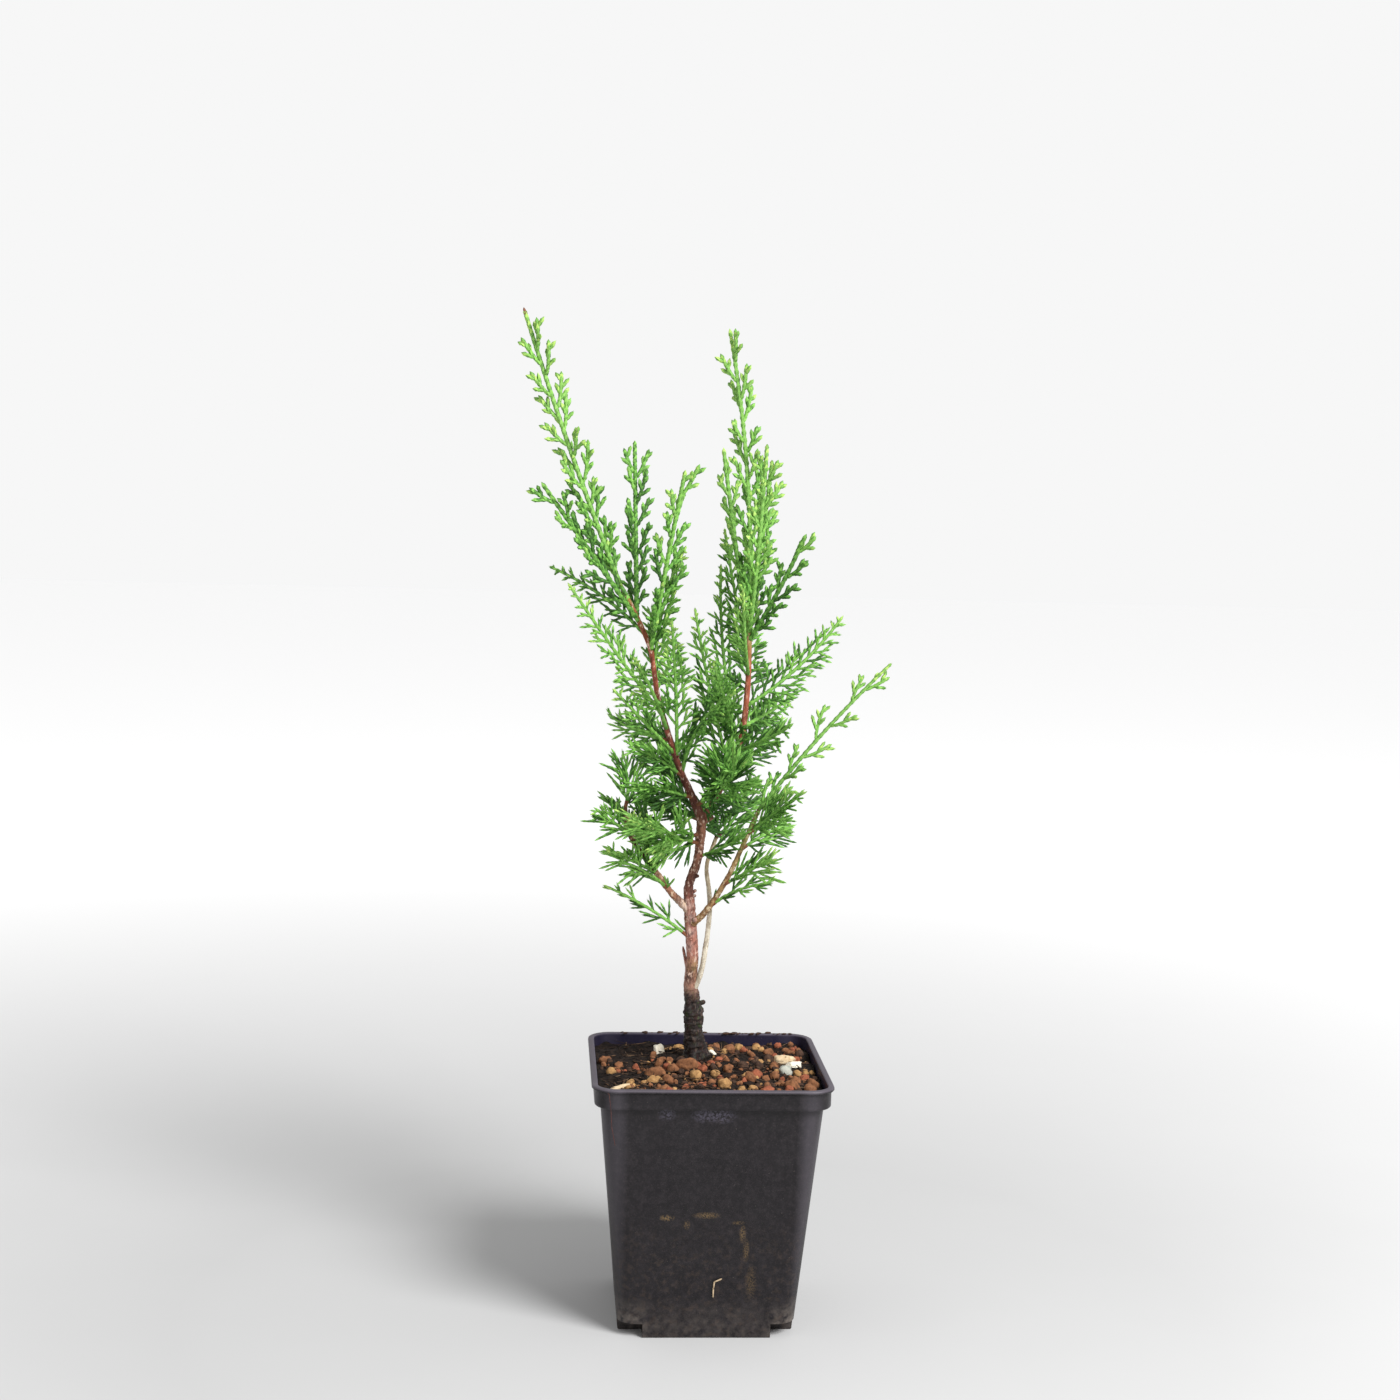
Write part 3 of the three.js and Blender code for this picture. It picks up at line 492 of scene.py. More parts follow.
def tubes(rows, sides, rings, flat=1.0):
    """Points and faces of one closed, tapering, pointed tube along each line."""
    rows = np.asarray(rows, float)
    share = np.linspace(0, 1, rings)
    at, ahead, across, other = along_lines(rows, rows[:, LENGTH, None] * share)
    radius = rows[:, ROOT_RADIUS, None] * (1 - share) + rows[:, END_RADIUS, None] * share
    turn = 2 * np.pi * np.arange(sides) / sides
    ring = (np.cos(turn)[:, None] * across[:, :, None] + flat * np.sin(turn)[:, None] * other[:, :, None])
    ring = at[:, :, None] + radius[:, :, None, None] * ring
    tip = at[:, -1:] + 1.5 * rows[:, END_RADIUS, None, None] * ahead[:, -1:]
    points = np.concatenate([ring.reshape(len(rows), -1, 3), at[:, :1], tip], axis=1)
    faces = []
    for i in range(rings - 1):
        for k in range(sides):
            a, b = i * sides + k, i * sides + (k + 1) % sides
            faces += [(a, b, b + sides), (a, b + sides, a + sides)]
    last = (rings - 1) * sides
    for k in range(sides):
        n = (k + 1) % sides
        faces += [(n, k, rings * sides), (last + k, last + n, rings * sides + 1)]
    faces = np.array(faces) + (np.arange(len(rows)) * points.shape[1])[:, None, None]
    return points.reshape(-1, 3), faces.reshape(-1, 3)


FIBRES = [
    # name, count, shortest, longest, thinnest, thickest, flatness, colours
    ("dark_fibres", 900, 2.5, 10, 0.08, 0.26, 0.7, rgb(26, 21, 20), rgb(62, 48, 40)),
    ("pale_fibres", 130, 2.5, 9, 0.06, 0.16, 0.7, rgb(96, 74, 58), rgb(152, 126, 98)),
    ("bark_shreds", 190, 2, 6.5, 0.35, 0.9, 0.3, rgb(54, 40, 33), rgb(108, 82, 62)),
]
FIBRE_MARGIN = 3
draws = seeded(9157)
for name, count, short, long, thin, thick, flat, first, second in FIBRES:
    rows = []
    while len(rows) < count:
        x, y = ((next(draws) - 0.5) * (SOIL_WIDTH - 2 * FIBRE_MARGIN) for _ in range(2))
        turn, size = 2 * math.pi * next(draws), short + (long - short) * next(draws) ** 2
        end_x, end_y = x + size * math.cos(turn), y + size * math.sin(turn)
        rise = (next(draws) - 0.25) * 0.25
        radius = thin + (thick - thin) * next(draws)
        if max(abs(end_x), abs(end_y)) > SOIL_WIDTH / 2 - FIBRE_MARGIN / 2:
            continue
        foot, end = crumbled(x, y) + 0.2, max(crumbled(end_x, end_y), crumbled(x, y)) + 0.3
        out = Vector((math.cos(turn), math.sin(turn), (end - foot) / size + rise))
        bend = Vector((-math.sin(turn), math.cos(turn), 0)) * (next(draws) - 0.5) * 0.8 / size
        across = (-math.sin(turn), math.cos(turn), 0)
        rows.append((x, y, foot, *out, *bend, *across, size, radius, 0.5 * radius))
    shred = mottled(name, first, second, size=2.0, grain=0.3, depth=0.1, roughness=0.9)
    placed(shaped(name, *tubes(rows, sides=5, rings=5, flat=flat), shred), "compost")


# A loose reddish fibre hangs over the lip, and a dry pale root sticks to the front wall: name, places
# from one end to the other, radius, and colours
STRAYS = [
    ("hanging_fibre", [(-39.4, -43.6, 96.4), (-38.8, -45.2, 96.2), (-38, -45.3, 90), (-37.6, -45, 84),
                       (-36.2, -44.6, 77)],
     0.1, rgb(70, 44, 42), rgb(104, 62, 54)),
    ("dry_root", [(2, -34.8, 16.4), (2, -35, 19.5), (2.3, -35.3, 22.4), (4.8, -35.5, 23.6)],
     0.3, rgb(170, 146, 118), rgb(206, 184, 152)),
]
for name, places, radius, first, second in STRAYS:
    rows = []
    for a, b in zip(places, places[1:]):
        out = Vector(b) - Vector(a)
        across = out.cross(Vector((0, 1, 0.1))).normalized()
        rows.append((*a, *out.normalized(), 0, 0, 0, *across, out.length, radius, radius))
    stray = mottled(name, first, second, size=1.5, grain=0.3, depth=0.05, roughness=0.8)
    placed(shaped(name, *tubes(rows, sides=6, rings=3), stray), "compost")


# Granules
# Baked clay granules, 1 to 4 mm across, lie in and on the compost: rounded crumbs of orange brown, tan,
# brick red and dark brown, each with a rough dusty skin that is painted paler on top as a painted top
# light. A few white, grey and cream stones lie there too.
GRANULE_KINDS = {
    # share of the whole, how round they are, and the two colours of the skin, its shaded and its lit tone
    "brown": (0.46, 0.9, rgb(88, 58, 42), rgb(162, 110, 75)),
    "tan": (0.14, 0.95, rgb(136, 98, 62), rgb(204, 160, 106)),
    "brick": (0.12, 0.9, rgb(112, 62, 46), rgb(176, 104, 74)),
    "dark": (0.28, 0.85, rgb(46, 34, 30), rgb(92, 68, 54)),
    "white": (0, 0.5, rgb(246, 232, 204), rgb(255, 250, 236)),
    "grey": (0, 0.8, rgb(140, 146, 138), rgb(206, 206, 194)),
    "cream": (0, 0.85, rgb(198, 168, 128), rgb(238, 216, 180)),
}
# Stones that stand out: kind, x, y, radius, and their proportions
STONES = [
    ("white", -17.2, 21, 2.6, (0.78, 0.5, 1.05)),
    ("tan", -12.5, 29, 1.4, (1, 1, 1)), ("tan", -10.2, 31, 1.5, (1, 1, 1)),
    ("tan", -9, 27, 1.7, (1.2, 1, 0.8)), ("tan", -14, 31.5, 1.1, (1, 1, 1)),
    ("white", 3.8, 15.5, 1.2, (1.5, 0.7, 0.6)), ("white", 2.8, 17.5, 0.8, (1.3, 0.7, 0.6)),
    ("brown", 5.6, 27, 2, (0.75, 1.7, 0.7)), ("tan", 8.3, 21.5, 1.5, (1, 1, 0.9)),
    ("tan", 15.4, 33.5, 1.9, (1, 1, 0.9)), ("brick", 17.2, 31, 1.5, (1, 1, 0.9)),
    ("tan", 22, 34, 1.9, (1.3, 1, 0.8)), ("brown", 26.6, 28, 2.1, (1.2, 1, 1)),
    ("brick", 37.2, 33, 2.2, (1.2, 1, 0.9)), ("brown", 39, 30.5, 1.6, (1, 1, 1)),
    ("cream", 31.4, 14.3, 3, (1.45, 0.8, 0.7)), ("white", 34.6, 6, 2.3, (1.3, 0.9, 0.9)),
    ("grey", 30.3, -3, 2.3, (1.1, 1, 0.95)), ("brick", 36.8, -9, 1.8, (1, 1.4, 0.8)),
    ("tan", -5, -12, 2.4, (0.95, 1, 1.1)), ("brick", -15.4, -1.5, 1.5, (1, 1, 1)),
    ("tan", -37, -5, 1.9, (1, 1, 1)), ("brown", -20, -6, 2.9, (1.4, 1, 0.8)),
    ("tan", 15.8, -6, 2.5, (1.1, 1, 0.9)), ("brown", -7.6, -2.5, 3.4, (1.4, 1, 0.7)),
    ("cream", -34.5, -27, 3, (1.8, 0.7, 0.35)), ("tan", -22, -19.5, 2, (1.2, 1, 0.9)),
    ("brick", 21, -30, 2.3, (1.5, 0.8, 0.7)), ("brown", 31, -24, 2.6, (1.2, 1, 0.9)),
    ("brown", 37, -27, 2.5, (1, 1, 0.9)), ("brown", 26.5, -19, 2.3, (1, 1, 0.9)),
]
LOOSE_GRANULES = 360
GRANULE_RADIUS = (0.5, 2.1)
TRUNK_CLEAR = 5.5
# Two granules may lie as near as this share of their radii, and so many places are tried for them
OVERLAP = 0.82
MOST_TRIES = 12000
# White and cream stones of more than this radius are slabs, which lean back by this angle in radians
SLAB_RADIUS = 2.2
SLAB_LEAN = 0.4

ball = bmesh.new()
bmesh.ops.create_icosphere(ball, subdivisions=3, radius=1)
BALL_POINTS = [v.co.copy() for v in ball.verts]
BALL_FACES = np.array([[v.index for v in f.verts] for f in ball.faces])
ball.free()

draws = seeded(4127)
granules = {kind: [] for kind in GRANULE_KINDS}
lying = [(x, y, radius) for _, x, y, radius, _ in STONES]
for kind, x, y, radius, shape in STONES:
    granules[kind].append((x, y, radius, shape))
for _ in range(MOST_TRIES):
    if len(lying) == len(STONES) + LOOSE_GRANULES:
        break
    x, y = ((next(draws) - 0.5) * (SOIL_WIDTH - 3) for _ in range(2))
    radius = GRANULE_RADIUS[0] + (GRANULE_RADIUS[1] - GRANULE_RADIUS[0]) * next(draws) ** 1.6
    shape = [0.7 + 0.6 * next(draws) for _ in range(3)]
    pick = next(draws)
    bare = noise.noise(Vector((x / 13, y / 13, 2.5))) + 0.012 * (x - 0.4 * y)
    away = math.hypot(x - TRUNK_FOOT[0], y - TRUNK_FOOT[1])
    if away < TRUNK_CLEAR + radius or bare < 0.02 - 0.25 * next(draws):
        continue
    inside = inside_square(x, y, SOIL_WIDTH - 2 * radius, SOIL_CORNER)
    if math.hypot(x - inside[0], y - inside[1]) > 0.01:
        continue
    if any(math.hypot(x - a, y - b) < OVERLAP * (radius + c) for a, b, c in lying):
        continue
    lying.append((x, y, radius))
    for kind, (part, _, _, _) in GRANULE_KINDS.items():
        pick -= part
        if pick < 0:
            granules[kind].append((x, y, radius, shape))
            break

# Crumbs left on the back of the lip: x, y and radius
RIM_COUNT = 46
RIM_CRUMBS = [(70 * next(draws) - 32, 42.2 + 2.2 * next(draws), 0.25 + 0.55 * next(draws) ** 2)
              for _ in range(RIM_COUNT)]
granules["dark"] += [(x, y, radius, (1.8, 1, 0.45)) for x, y, radius in RIM_CRUMBS]

for kind, (_, round_off, first, second) in GRANULE_KINDS.items():
    points, faces = [], []
    for x, y, radius, shape in granules[kind]:
        turn = Quaternion((next(draws) - 0.5, next(draws) - 0.5, 1, next(draws) - 0.5)).normalized()
        on_lip = y > SOIL_WIDTH / 2 - 0.5
        slab = radius > SLAB_RADIUS and kind in ("white", "cream")
        if on_lip or slab:
            turn = Quaternion((0, 0, 1), next(draws)) @ Quaternion((1, 0, 0), -SLAB_LEAN * slab)
        bed = POT_HEIGHT + 0.2 * radius if on_lip else soil_height(x, y)
        centre = Vector((x, y, bed + (0.4 * next(draws) - 0.05) * radius * shape[2]))
        shift = Vector([40 * next(draws) for _ in range(3)])
        start = len(points)
        for p in BALL_POINTS:
            swell = 1 + 0.3 * noise.noise(p * 1.3 + shift) + 0.16 * noise.noise(p * 3.1 + shift)
            swell += 0.07 * noise.noise(p * 7 + shift)
            crumb = [swell * radius * math.copysign(abs(a) ** round_off, a) * b for a, b in zip(p, shape)]
            points.append(centre + turn @ Vector(crumb))
        faces.append(BALL_FACES + start)
    clay, tree, shader = new_finish(f"granule_{kind}", Roughness=0.92, Specular_IOR_Level=0.25)
    colour = use(tree, MOTTLE, Size=1.5, First=first, Second=second, Low=0.3, High=0.7)["Color"]
    # Dust in patches, and a painted top light: the lit tone lies more on the faces that point up.
    dust_and_top_light = use(tree, DUST, Color=colour, Dust=second, Size=0.8, Low=0.45, Lying=0.2)
    tree.links.new(dust_and_top_light["Color"], shader.inputs["Base Color"])
    raised(tree, shader, use(tree, GRAIN, Size=0.35)["Height"], 0.14)
    placed(shaped(f"granules_{kind}", points, np.concatenate(faces), clay), "compost")


# Wood
# The trunk is one bent, tapering stem: black, cracked and mossy at the foot, then smooth pinkish brown
# bark, then thin brown flakes, and red brown where it is a young leader. It keeps short stubs where side
# shoots died or were cut. Two boughs, a second leader and a pale weak stem leave it.
LIMBS = {
    # centre line and radius, from the foot to the end: x, y, z, radius
    "trunk": [
        (-3.4, 10, 96, 3.9), (-4.5, 9.5, 106, 3.8), (-5.2, 9, 116, 3.7), (-6.4, 8, 125, 2.7),
        (-6.1, 7, 137, 2.3), (-7, 6, 148, 2.35), (-7.9, 5, 158, 2.2), (-8.3, 4.5, 165, 1.8),
        (-5.6, 4, 174, 1.75), (-4.4, 3, 185, 1.9), (-4.6, 3, 191, 1.9), (-7.6, 2, 198.5, 1.55),
        (-12.6, 1, 209, 1.3), (-17, 0, 221, 1.2), (-22.3, -1, 238, 1), (-25.6, -2, 256, 0.95),
        (-31, -3, 268, 0.95), (-37.8, -4, 280.5, 0.8),
    ],
    "right_leader": [
        (-4.4, 3, 188, 1.4), (-0.6, 4, 197, 1.35), (5.5, 6, 207, 1.3), (10.2, 7.5, 220, 1.2),
        (12.6, 9, 241, 1.1), (12.9, 11, 262, 1), (12.8, 11, 276, 0.85),
    ],
    "left_bough": [
        (-8, 5, 155, 1.6), (-14.4, 3, 161.5, 1.3), (-20, 1, 168.6, 1.1), (-26, -2, 177, 0.95),
        (-32, -4.5, 186, 0.85), (-33.8, -5, 196, 0.7),
    ],
    "right_bough": [
        (-6.4, 4.5, 150, 1.4), (-2.1, 1.5, 155, 1.15), (2.4, -1, 162.5, 0.95), (7.1, -2, 171.5, 0.9),
        (10.8, -3, 180.5, 0.85), (14.8, -4, 190.5, 0.75), (17, -5, 196, 0.7),
    ],
    "pale_stem": [
        (-5.6, 7.5, 122.5, 0.9), (-2.9, 5.8, 130, 0.85), (-1.1, 5, 142, 0.8), (0.2, 7, 155.5, 0.75),
        (-0.2, 10.5, 163, 0.7), (-1, 13, 171, 0.65), (2.5, 15, 182, 0.6),
    ],
}
LIMB_STEP = 0.45
LIMB_SIDES = 26
FLARE = {"foot": 96, "height": 11, "swell": 0.32, "lobes": 4, "lobe_depth": 0.16}
# Stubs on the trunk: height, bearing, rise, length, radius
STUBS = [
    (124, 172, 78, 16.5, 0.8), (117, -10, 20, 5.2, 1.2), (151, -60, 15, 4.4, 1.3),
    (161, 20, 30, 3.6, 0.8), (189.5, 15, 25, 5.4, 1.3), (167.6, -20, 20, 3.4, 0.9),
    (160.5, -35, 10, 3.2, 0.8), (126.5, -150, 40, 3.6, 0.9), (143, -100, 10, 2.9, 0.6),
    (178, -120, 30, 2.7, 0.6), (203, 160, 35, 2.4, 0.5), (214, -60, 35, 2.2, 0.5),
    (232, 170, 40, 2, 0.5),
]
STUB_STEPS = 12
STUB_SIDES = 14
BOUGH_SIDES = 18


def smooth_line(corners, count):
    """Places and radii along the smooth line through the corners, evenly in its own measure."""
    p = [Vector(c[:3]) for c in corners]
    ends = [2 * p[0] - p[1], *p, 2 * p[-1] - p[-2]]
    line = []
    for i in range(count + 1):
        along = i / count * (len(p) - 1)
        k = min(int(along), len(p) - 2)
        w = along - k
        a, b, c, d = ends[k:k + 4]
        ab, bc, cd = (math.sqrt((v - u).length) for u, v in ((a, b), (b, c), (c, d)))
        t0 = ((b - a) / ab - (c - a) / (ab + bc) + (c - b) / bc) * bc
        t1 = ((c - b) / bc - (d - b) / (bc + cd) + (d - c) / cd) * bc
        at = b + t0 * w + (3 * (c - b) - 2 * t0 - t1) * w ** 2 + (2 * (b - c) + t0 + t1) * w ** 3
        line.append((at, corners[k][3] * (1 - w) + corners[k + 1][3] * w))
    return line


def bark_relief(around, s, at, rough):
    """How far the bark stands out at a place, as a share of the limb's radius."""
    strip = noise.noise(Vector((2.2 * around.x, 2.2 * around.y, s / 7))) * 0.5
    strip += noise.noise(Vector((5 * around.x, 5 * around.y, s / 3.5))) * 0.3
    crack = abs(noise.noise(Vector((3.6 * around.x, 3.6 * around.y, s / 2.2 + 9))))
    flake = noise.noise(at * 1.4) * 0.25
    return rough * (strip + flake - 0.5 * max(0, 0.25 - crack) / 0.25)


def bark_tube(line, rough, swell=lambda angle, z: 1, sides=LIMB_SIDES):
    """A closed limb with relief in its skin, over places and radii."""
    rings, across, s = [], Vector((1, 0, 0)), 0
    for i, (at, radius) in enumerate(line):
        ahead = (line[min(i + 1, len(line) - 1)][0] - line[max(i - 1, 0)][0]).normalized()
        across = (across - ahead * across.dot(ahead)).normalized()
        other = ahead.cross(across)
        s += (at - line[i - 1][0]).length if i else 0
        ring = []
        for k in range(sides):
            angle = 2 * math.pi * k / sides
            around = Vector((math.cos(angle), math.sin(angle), 0))
            out = radius * swell(angle, at.z) * (1 + bark_relief(around, s, at, rough(at.z)))
            ring.append(at + out * (around.x * across + around.y * other))
        rings.append(ring)
    return loft(rings)


def limb_length(corners):
    return sum((Vector(b[:3]) - Vector(a[:3])).length for a, b in zip(corners, corners[1:]))


limb_lines = {name: smooth_line(corners, round(limb_length(corners) / LIMB_STEP))
              for name, corners in LIMBS.items()}


def limb_place(name, height):
    """The place on a limb's centre line at a height, or at its end."""
    line = limb_lines[name]
    if height == "end":
        return line[-1][0].copy()
    return next(at for at, _ in line if at.z >= height).copy()


def bearing(turn, rise):
    """A direction from its bearing (0 is right, 90 is back) and its rise above level."""
    turn, rise = math.radians(turn), math.radians(rise)
    return Vector((math.cos(turn) * math.cos(rise), math.sin(turn) * math.cos(rise), math.sin(rise)))


def flared(angle, z):
    """How much wider the trunk is where it spreads into its roots."""
    close = max(0, 1 - (z - FLARE["foot"]) / FLARE["height"])
    lobe = FLARE["lobe_depth"] * math.cos(FLARE["lobes"] * angle + 0.8)
    return 1 + close * close * (FLARE["swell"] + lobe)


def trunk_rough(z):
    """The foot is cracked, the bark above it smooth, and the old fork flaky."""
    if z < 124:
        return 0.36
    return 0.13 if z < 150 else 0.3 if z < 200 else 0.15


def joined(parts):
    """Several closed skins as one set of points and faces."""
    points, faces, start = [], [], 0
    for these, skins in parts:
        points.append(these)
        faces += [tuple(i + start for i in face) for face in skins]
        start += len(these)
    return np.concatenate(points), faces


def bark(name, stops, fleck_first, fleck_second, fleck_share, depth, moss=0.0, marks_and_highlights=()):
    """Bark whose colour follows the height, with long grain, dark and pale flecks, and marks in places,
    some of them painted highlights. Stops are heights and colours; a mark has its middle, its reach, its
    colour and its share."""
    material, tree, shader = new_finish(name, Specular_IOR_Level=0.3)
    z = node(tree, "ShaderNodeSeparateXYZ", {0: own_place(tree)}).outputs["Z"]
    wander = times(tree, use(tree, MOTTLE, Size=4.0, Low=0.2, High=0.8)["Mask"], 7 * MM)
    level = arithmetic(tree, "ADD", z, wander)
    low, high = stops[0][0] * MM, stops[-1][0] * MM
    ramp = node(tree, "ShaderNodeValToRGB", {"Fac": between(tree, level, low, high, 0, 1)})
    while len(ramp.color_ramp.elements) < len(stops):
        ramp.color_ramp.elements.new(0.5)
    for element, (at, colour) in zip(ramp.color_ramp.elements, stops):
        element.position = (at * MM - low) / (high - low)
        element.color = colour
    colour = ramp.outputs["Color"]
    # Each place is either a mark of the bark's own or a painted highlight, mixed in where it lies.
    for middle, reach, tone, share in marks_and_highlights:
        ragged = use(tree, MOTTLE, Size=1.2, Stretch=(1, 1, 3), Low=0.3, High=0.6)["Mask"]
        there = times(tree, ragged, near(tree, middle, reach))
        colour = mixed(tree, times(tree, there, share), colour, tone)
    line = use(tree, MOTTLE, Size=0.45, Stretch=(1, 1, 9), Low=0.5, High=0.66)["Mask"]
    colour = mixed(tree, times(tree, line, 0.7 * fleck_share), colour, fleck_first)
    dark = use(tree, MOTTLE, Size=2.0, Stretch=(1, 1, 1.8), Low=0.5, High=0.58)["Mask"]
    colour = mixed(tree, times(tree, dark, fleck_share), colour, fleck_first)
    # There are hardly any pale flecks on the black foot
    pale = use(tree, MOTTLE, Size=1.2, Stretch=(1, 1, 1.8), Low=0.55, High=0.64)["Mask"]
    pale = times(tree, pale, between(tree, z, 122 * MM, 130 * MM, 0.1, 1.4 * fleck_share))
    colour = mixed(tree, pale, colour, fleck_second)
    if moss:
        # The moss gets thicker from the compost up and ends with the black foot
        green = use(tree, MOTTLE, Size=2.0, Low=0.54, High=0.68)["Mask"]
        foot = times(tree, between(tree, z, 104 * MM, 118 * MM, 0.2, moss),
                     between(tree, z, 124 * MM, 127 * MM, 1, 0))
        colour = mixed(tree, times(tree, green, foot), colour, rgb(62, 84, 36))
    tree.links.new(colour, shader.inputs["Base Color"])
    tree.links.new(between(tree, dark, 0, 1, 0.55, 0.9), shader.inputs["Roughness"])
    raised(tree, shader, use(tree, GRAIN, Size=0.45, Stretch=(1, 1, 3))["Height"], depth)
    return material


# Marks on the trunk: middle, reach, colour and share. The dark marks and the greenish tan patch are the
# bark's own; the pale pinkish white streak down the front left, from 141 to 152 mm high, is a painted
# highlight.
TRUNK_MARKS_AND_HIGHLIGHTS = [
    ((-5.5, 4.5, 133), 5, rgb(140, 122, 76), 0.8), ((-7.3, 4.5, 129), 3.5, rgb(52, 44, 38), 1),
    ((-3.8, 4.5, 129), 3.5, rgb(188, 142, 112), 0.7), ((-8.2, 4.5, 141), 3, rgb(222, 192, 182), 0.6),
    ((-7.2, 3.5, 147), 3, rgb(222, 192, 182), 0.6), ((-6.9, 3, 152), 3, rgb(222, 196, 186), 0.7),
    ((-10, 4.5, 157), 4, rgb(226, 206, 194), 0.9), ((-4, 2.5, 157), 3.5, rgb(224, 200, 184), 0.8),
    ((-6.7, 2.5, 162.5), 3, rgb(58, 36, 32), 0.9), ((-5.4, 2, 168.4), 3, rgb(54, 34, 30), 0.9),
]
trunk_bark = bark(
    "trunk_bark",
    [(96, rgb(30, 26, 26)), (124, rgb(42, 36, 34)), (128, rgb(166, 122, 104)), (140, rgb(178, 120, 104)),
     (160, rgb(158, 98, 82)), (171, rgb(112, 68, 54)), (190, rgb(146, 98, 76)), (200, rgb(104, 60, 48)),
     (230, rgb(146, 76, 58)), (262, rgb(178, 92, 66)), (276, rgb(160, 104, 64)),
     (286, rgb(122, 172, 74))],
    rgb(58, 36, 32), rgb(224, 192, 174), fleck_share=0.55, depth=0.3, moss=0.8, marks_and_highlights=TRUNK_MARKS_AND_HIGHLIGHTS)
parts = [bark_tube(limb_lines["trunk"], trunk_rough, flared)]
for height, turn, rise, long, radius in STUBS:
    foot, out = limb_place("trunk", height), bearing(turn, rise)
    stub = []
    for i in range(STUB_STEPS):
        share = i / STUB_STEPS
        stub.append((foot + out * long * share, radius * (1.25 - 0.55 * share ** 0.6)))
    stub.append((foot + out * long, radius * 0.3))
    parts.append(bark_tube(stub, lambda z: 0.3, sides=STUB_SIDES))
placed(shaped("trunk_with_bark", *joined(parts), trunk_bark), "bark", "trunk")

leader_bark = bark(
    "leader_bark",
    [(188, rgb(124, 78, 60)), (215, rgb(128, 68, 52)), (252, rgb(170, 90, 64)), (264, rgb(140, 128, 66)),
     (278, rgb(118, 168, 72))],
    rgb(70, 40, 34), rgb(206, 150, 124), fleck_share=0.45, depth=0.2)
bough_bark = bark(
    "bough_bark",
    [(155, rgb(160, 116, 94)), (168, rgb(150, 102, 78)), (196, rgb(116, 80, 56))],
    rgb(74, 46, 34), rgb(214, 186, 158), fleck_share=0.6, depth=0.3,
    marks_and_highlights=[((-10.5, 3.5, 157.5), 4.5, rgb(228, 206, 190), 0.8),
          ((-20, 0, 168.6), 4, rgb(210, 176, 140), 0.6)])
tan_bark = bark(
    "tan_bark",
    [(150, rgb(166, 128, 88)), (175, rgb(176, 138, 94)), (196, rgb(140, 148, 80))],
    rgb(90, 54, 36), rgb(226, 204, 168), fleck_share=0.6, depth=0.3,
    marks_and_highlights=[((-2, 0.5, 155), 3, rgb(88, 52, 36), 0.8)])
cream_bark = bark(
    "cream_bark",
    [(122, rgb(208, 196, 176)), (150, rgb(216, 206, 186)), (182, rgb(182, 158, 122))],
    rgb(132, 114, 94), rgb(240, 232, 216), fleck_share=0.5, depth=0.25)
for name, material, rough, full, slot in (
    # full is how much stouter the limb is with its bark than its own centre line says
    ("right_leader", leader_bark, 0.14, 1, "bark"),
    ("left_bough", bough_bark, 0.34, 1.1, "bark"),
    ("right_bough", tan_bark, 0.3, 1.1, "pale_bark"),
    ("pale_stem", cream_bark, 0.24, 1.28, "pale_bark"),
):
    line = [(at, full * radius) for at, radius in limb_lines[name]]
    skin = bark_tube(line, lambda z, rough=rough: rough, sides=BOUGH_SIDES)
    placed(shaped(f"{name}_with_bark", *skin, material), slot, name)


# Foliage
# Each mass is one stem with side twigs to the left and right in turn, each twig with shoots in the same
# way, and each long shoot with side shoots. All of them are clad in overlapping pairs of tiny leaves,
# bright and plump with yellow green ends on the whips at the top, slender and deep green on the fronds.
DARK, MID, BRIGHT, LIGHT, TIP = range(5)
# A habit of growth. The stem has a twig at every pace, with a crowd of them at its foot, within a zone in
# shares of its length. Share says how fast they get shorter, tilt how far they leave the fan, and lean
# their angle at the foot and at the end, in degrees. A twig curls, and has a shoot at every few
# millimetres, from one share of it until another, with its length and splay. A shoot has one side shoot
# fewer than twice its length over side_from, each as long as side. Girth and stem are radii at the root
# and the end. Nubs are small shoots on the stem, nub long. Woody is the brown share of the stem. The leaves
# have a pitch, stand open by a share and are pale at the tip, and fade is how much darker their green is
# painted toward the foot of the mass, a painted shade.
WHIP = {
    "pace": 4.1, "crowd": 1.35, "zone": (0.03, 0.89), "share": 0.06, "tilt": 50, "lean": (46, 40),
    "curl": 0.42, "every": 3.6, "from": 0.25, "until": 1, "shoot": 5.8, "splay": 36,
    "side_from": 99, "side": 0, "girth": (0.68, 0.84), "stem": (1.02, 0.8), "nubs": 0.2, "nub": 2.8,
    "woody": 0, "pitch": 1.45, "open": 0.08, "tip": 1.4, "fade": 2.5,
}
CORD = dict(WHIP, pace=6.5, crowd=1.6, nubs=0.1, stem=(0.85, 0.62), girth=(0.6, 0.68), fade=1.6)
FROND = {
    "pace": 2.2, "crowd": 1, "zone": (0.04, 0.985), "share": 0.7, "tilt": 22, "lean": (43, 30),
    "curl": 0.12, "every": 2.6, "from": 0.12, "until": 1, "shoot": 7.2, "splay": 29,
    "side_from": 99, "side": 0, "girth": (0.53, 0.47), "stem": (0.8, 0.56), "nubs": 0, "nub": 0,
    "woody": 0, "pitch": 1.45, "open": 0.05, "tip": 1.1, "fade": 1.6,
}
SPRAY = {
    "pace": 1.95, "crowd": 1, "zone": (0.03, 0.97), "share": 0.4, "tilt": 50, "lean": (42, 26),
    "curl": 0.2, "every": 2.9, "from": 0.0, "until": 0.62, "shoot": 14, "splay": 24,
    "side_from": 9, "side": 7, "girth": (0.47, 0.4), "stem": (0.75, 0.5), "nubs": 0, "nub": 0,
    "woody": 0.12, "pitch": 1.7, "open": 0.03, "tip": 1.15, "fade": 1.6,
}
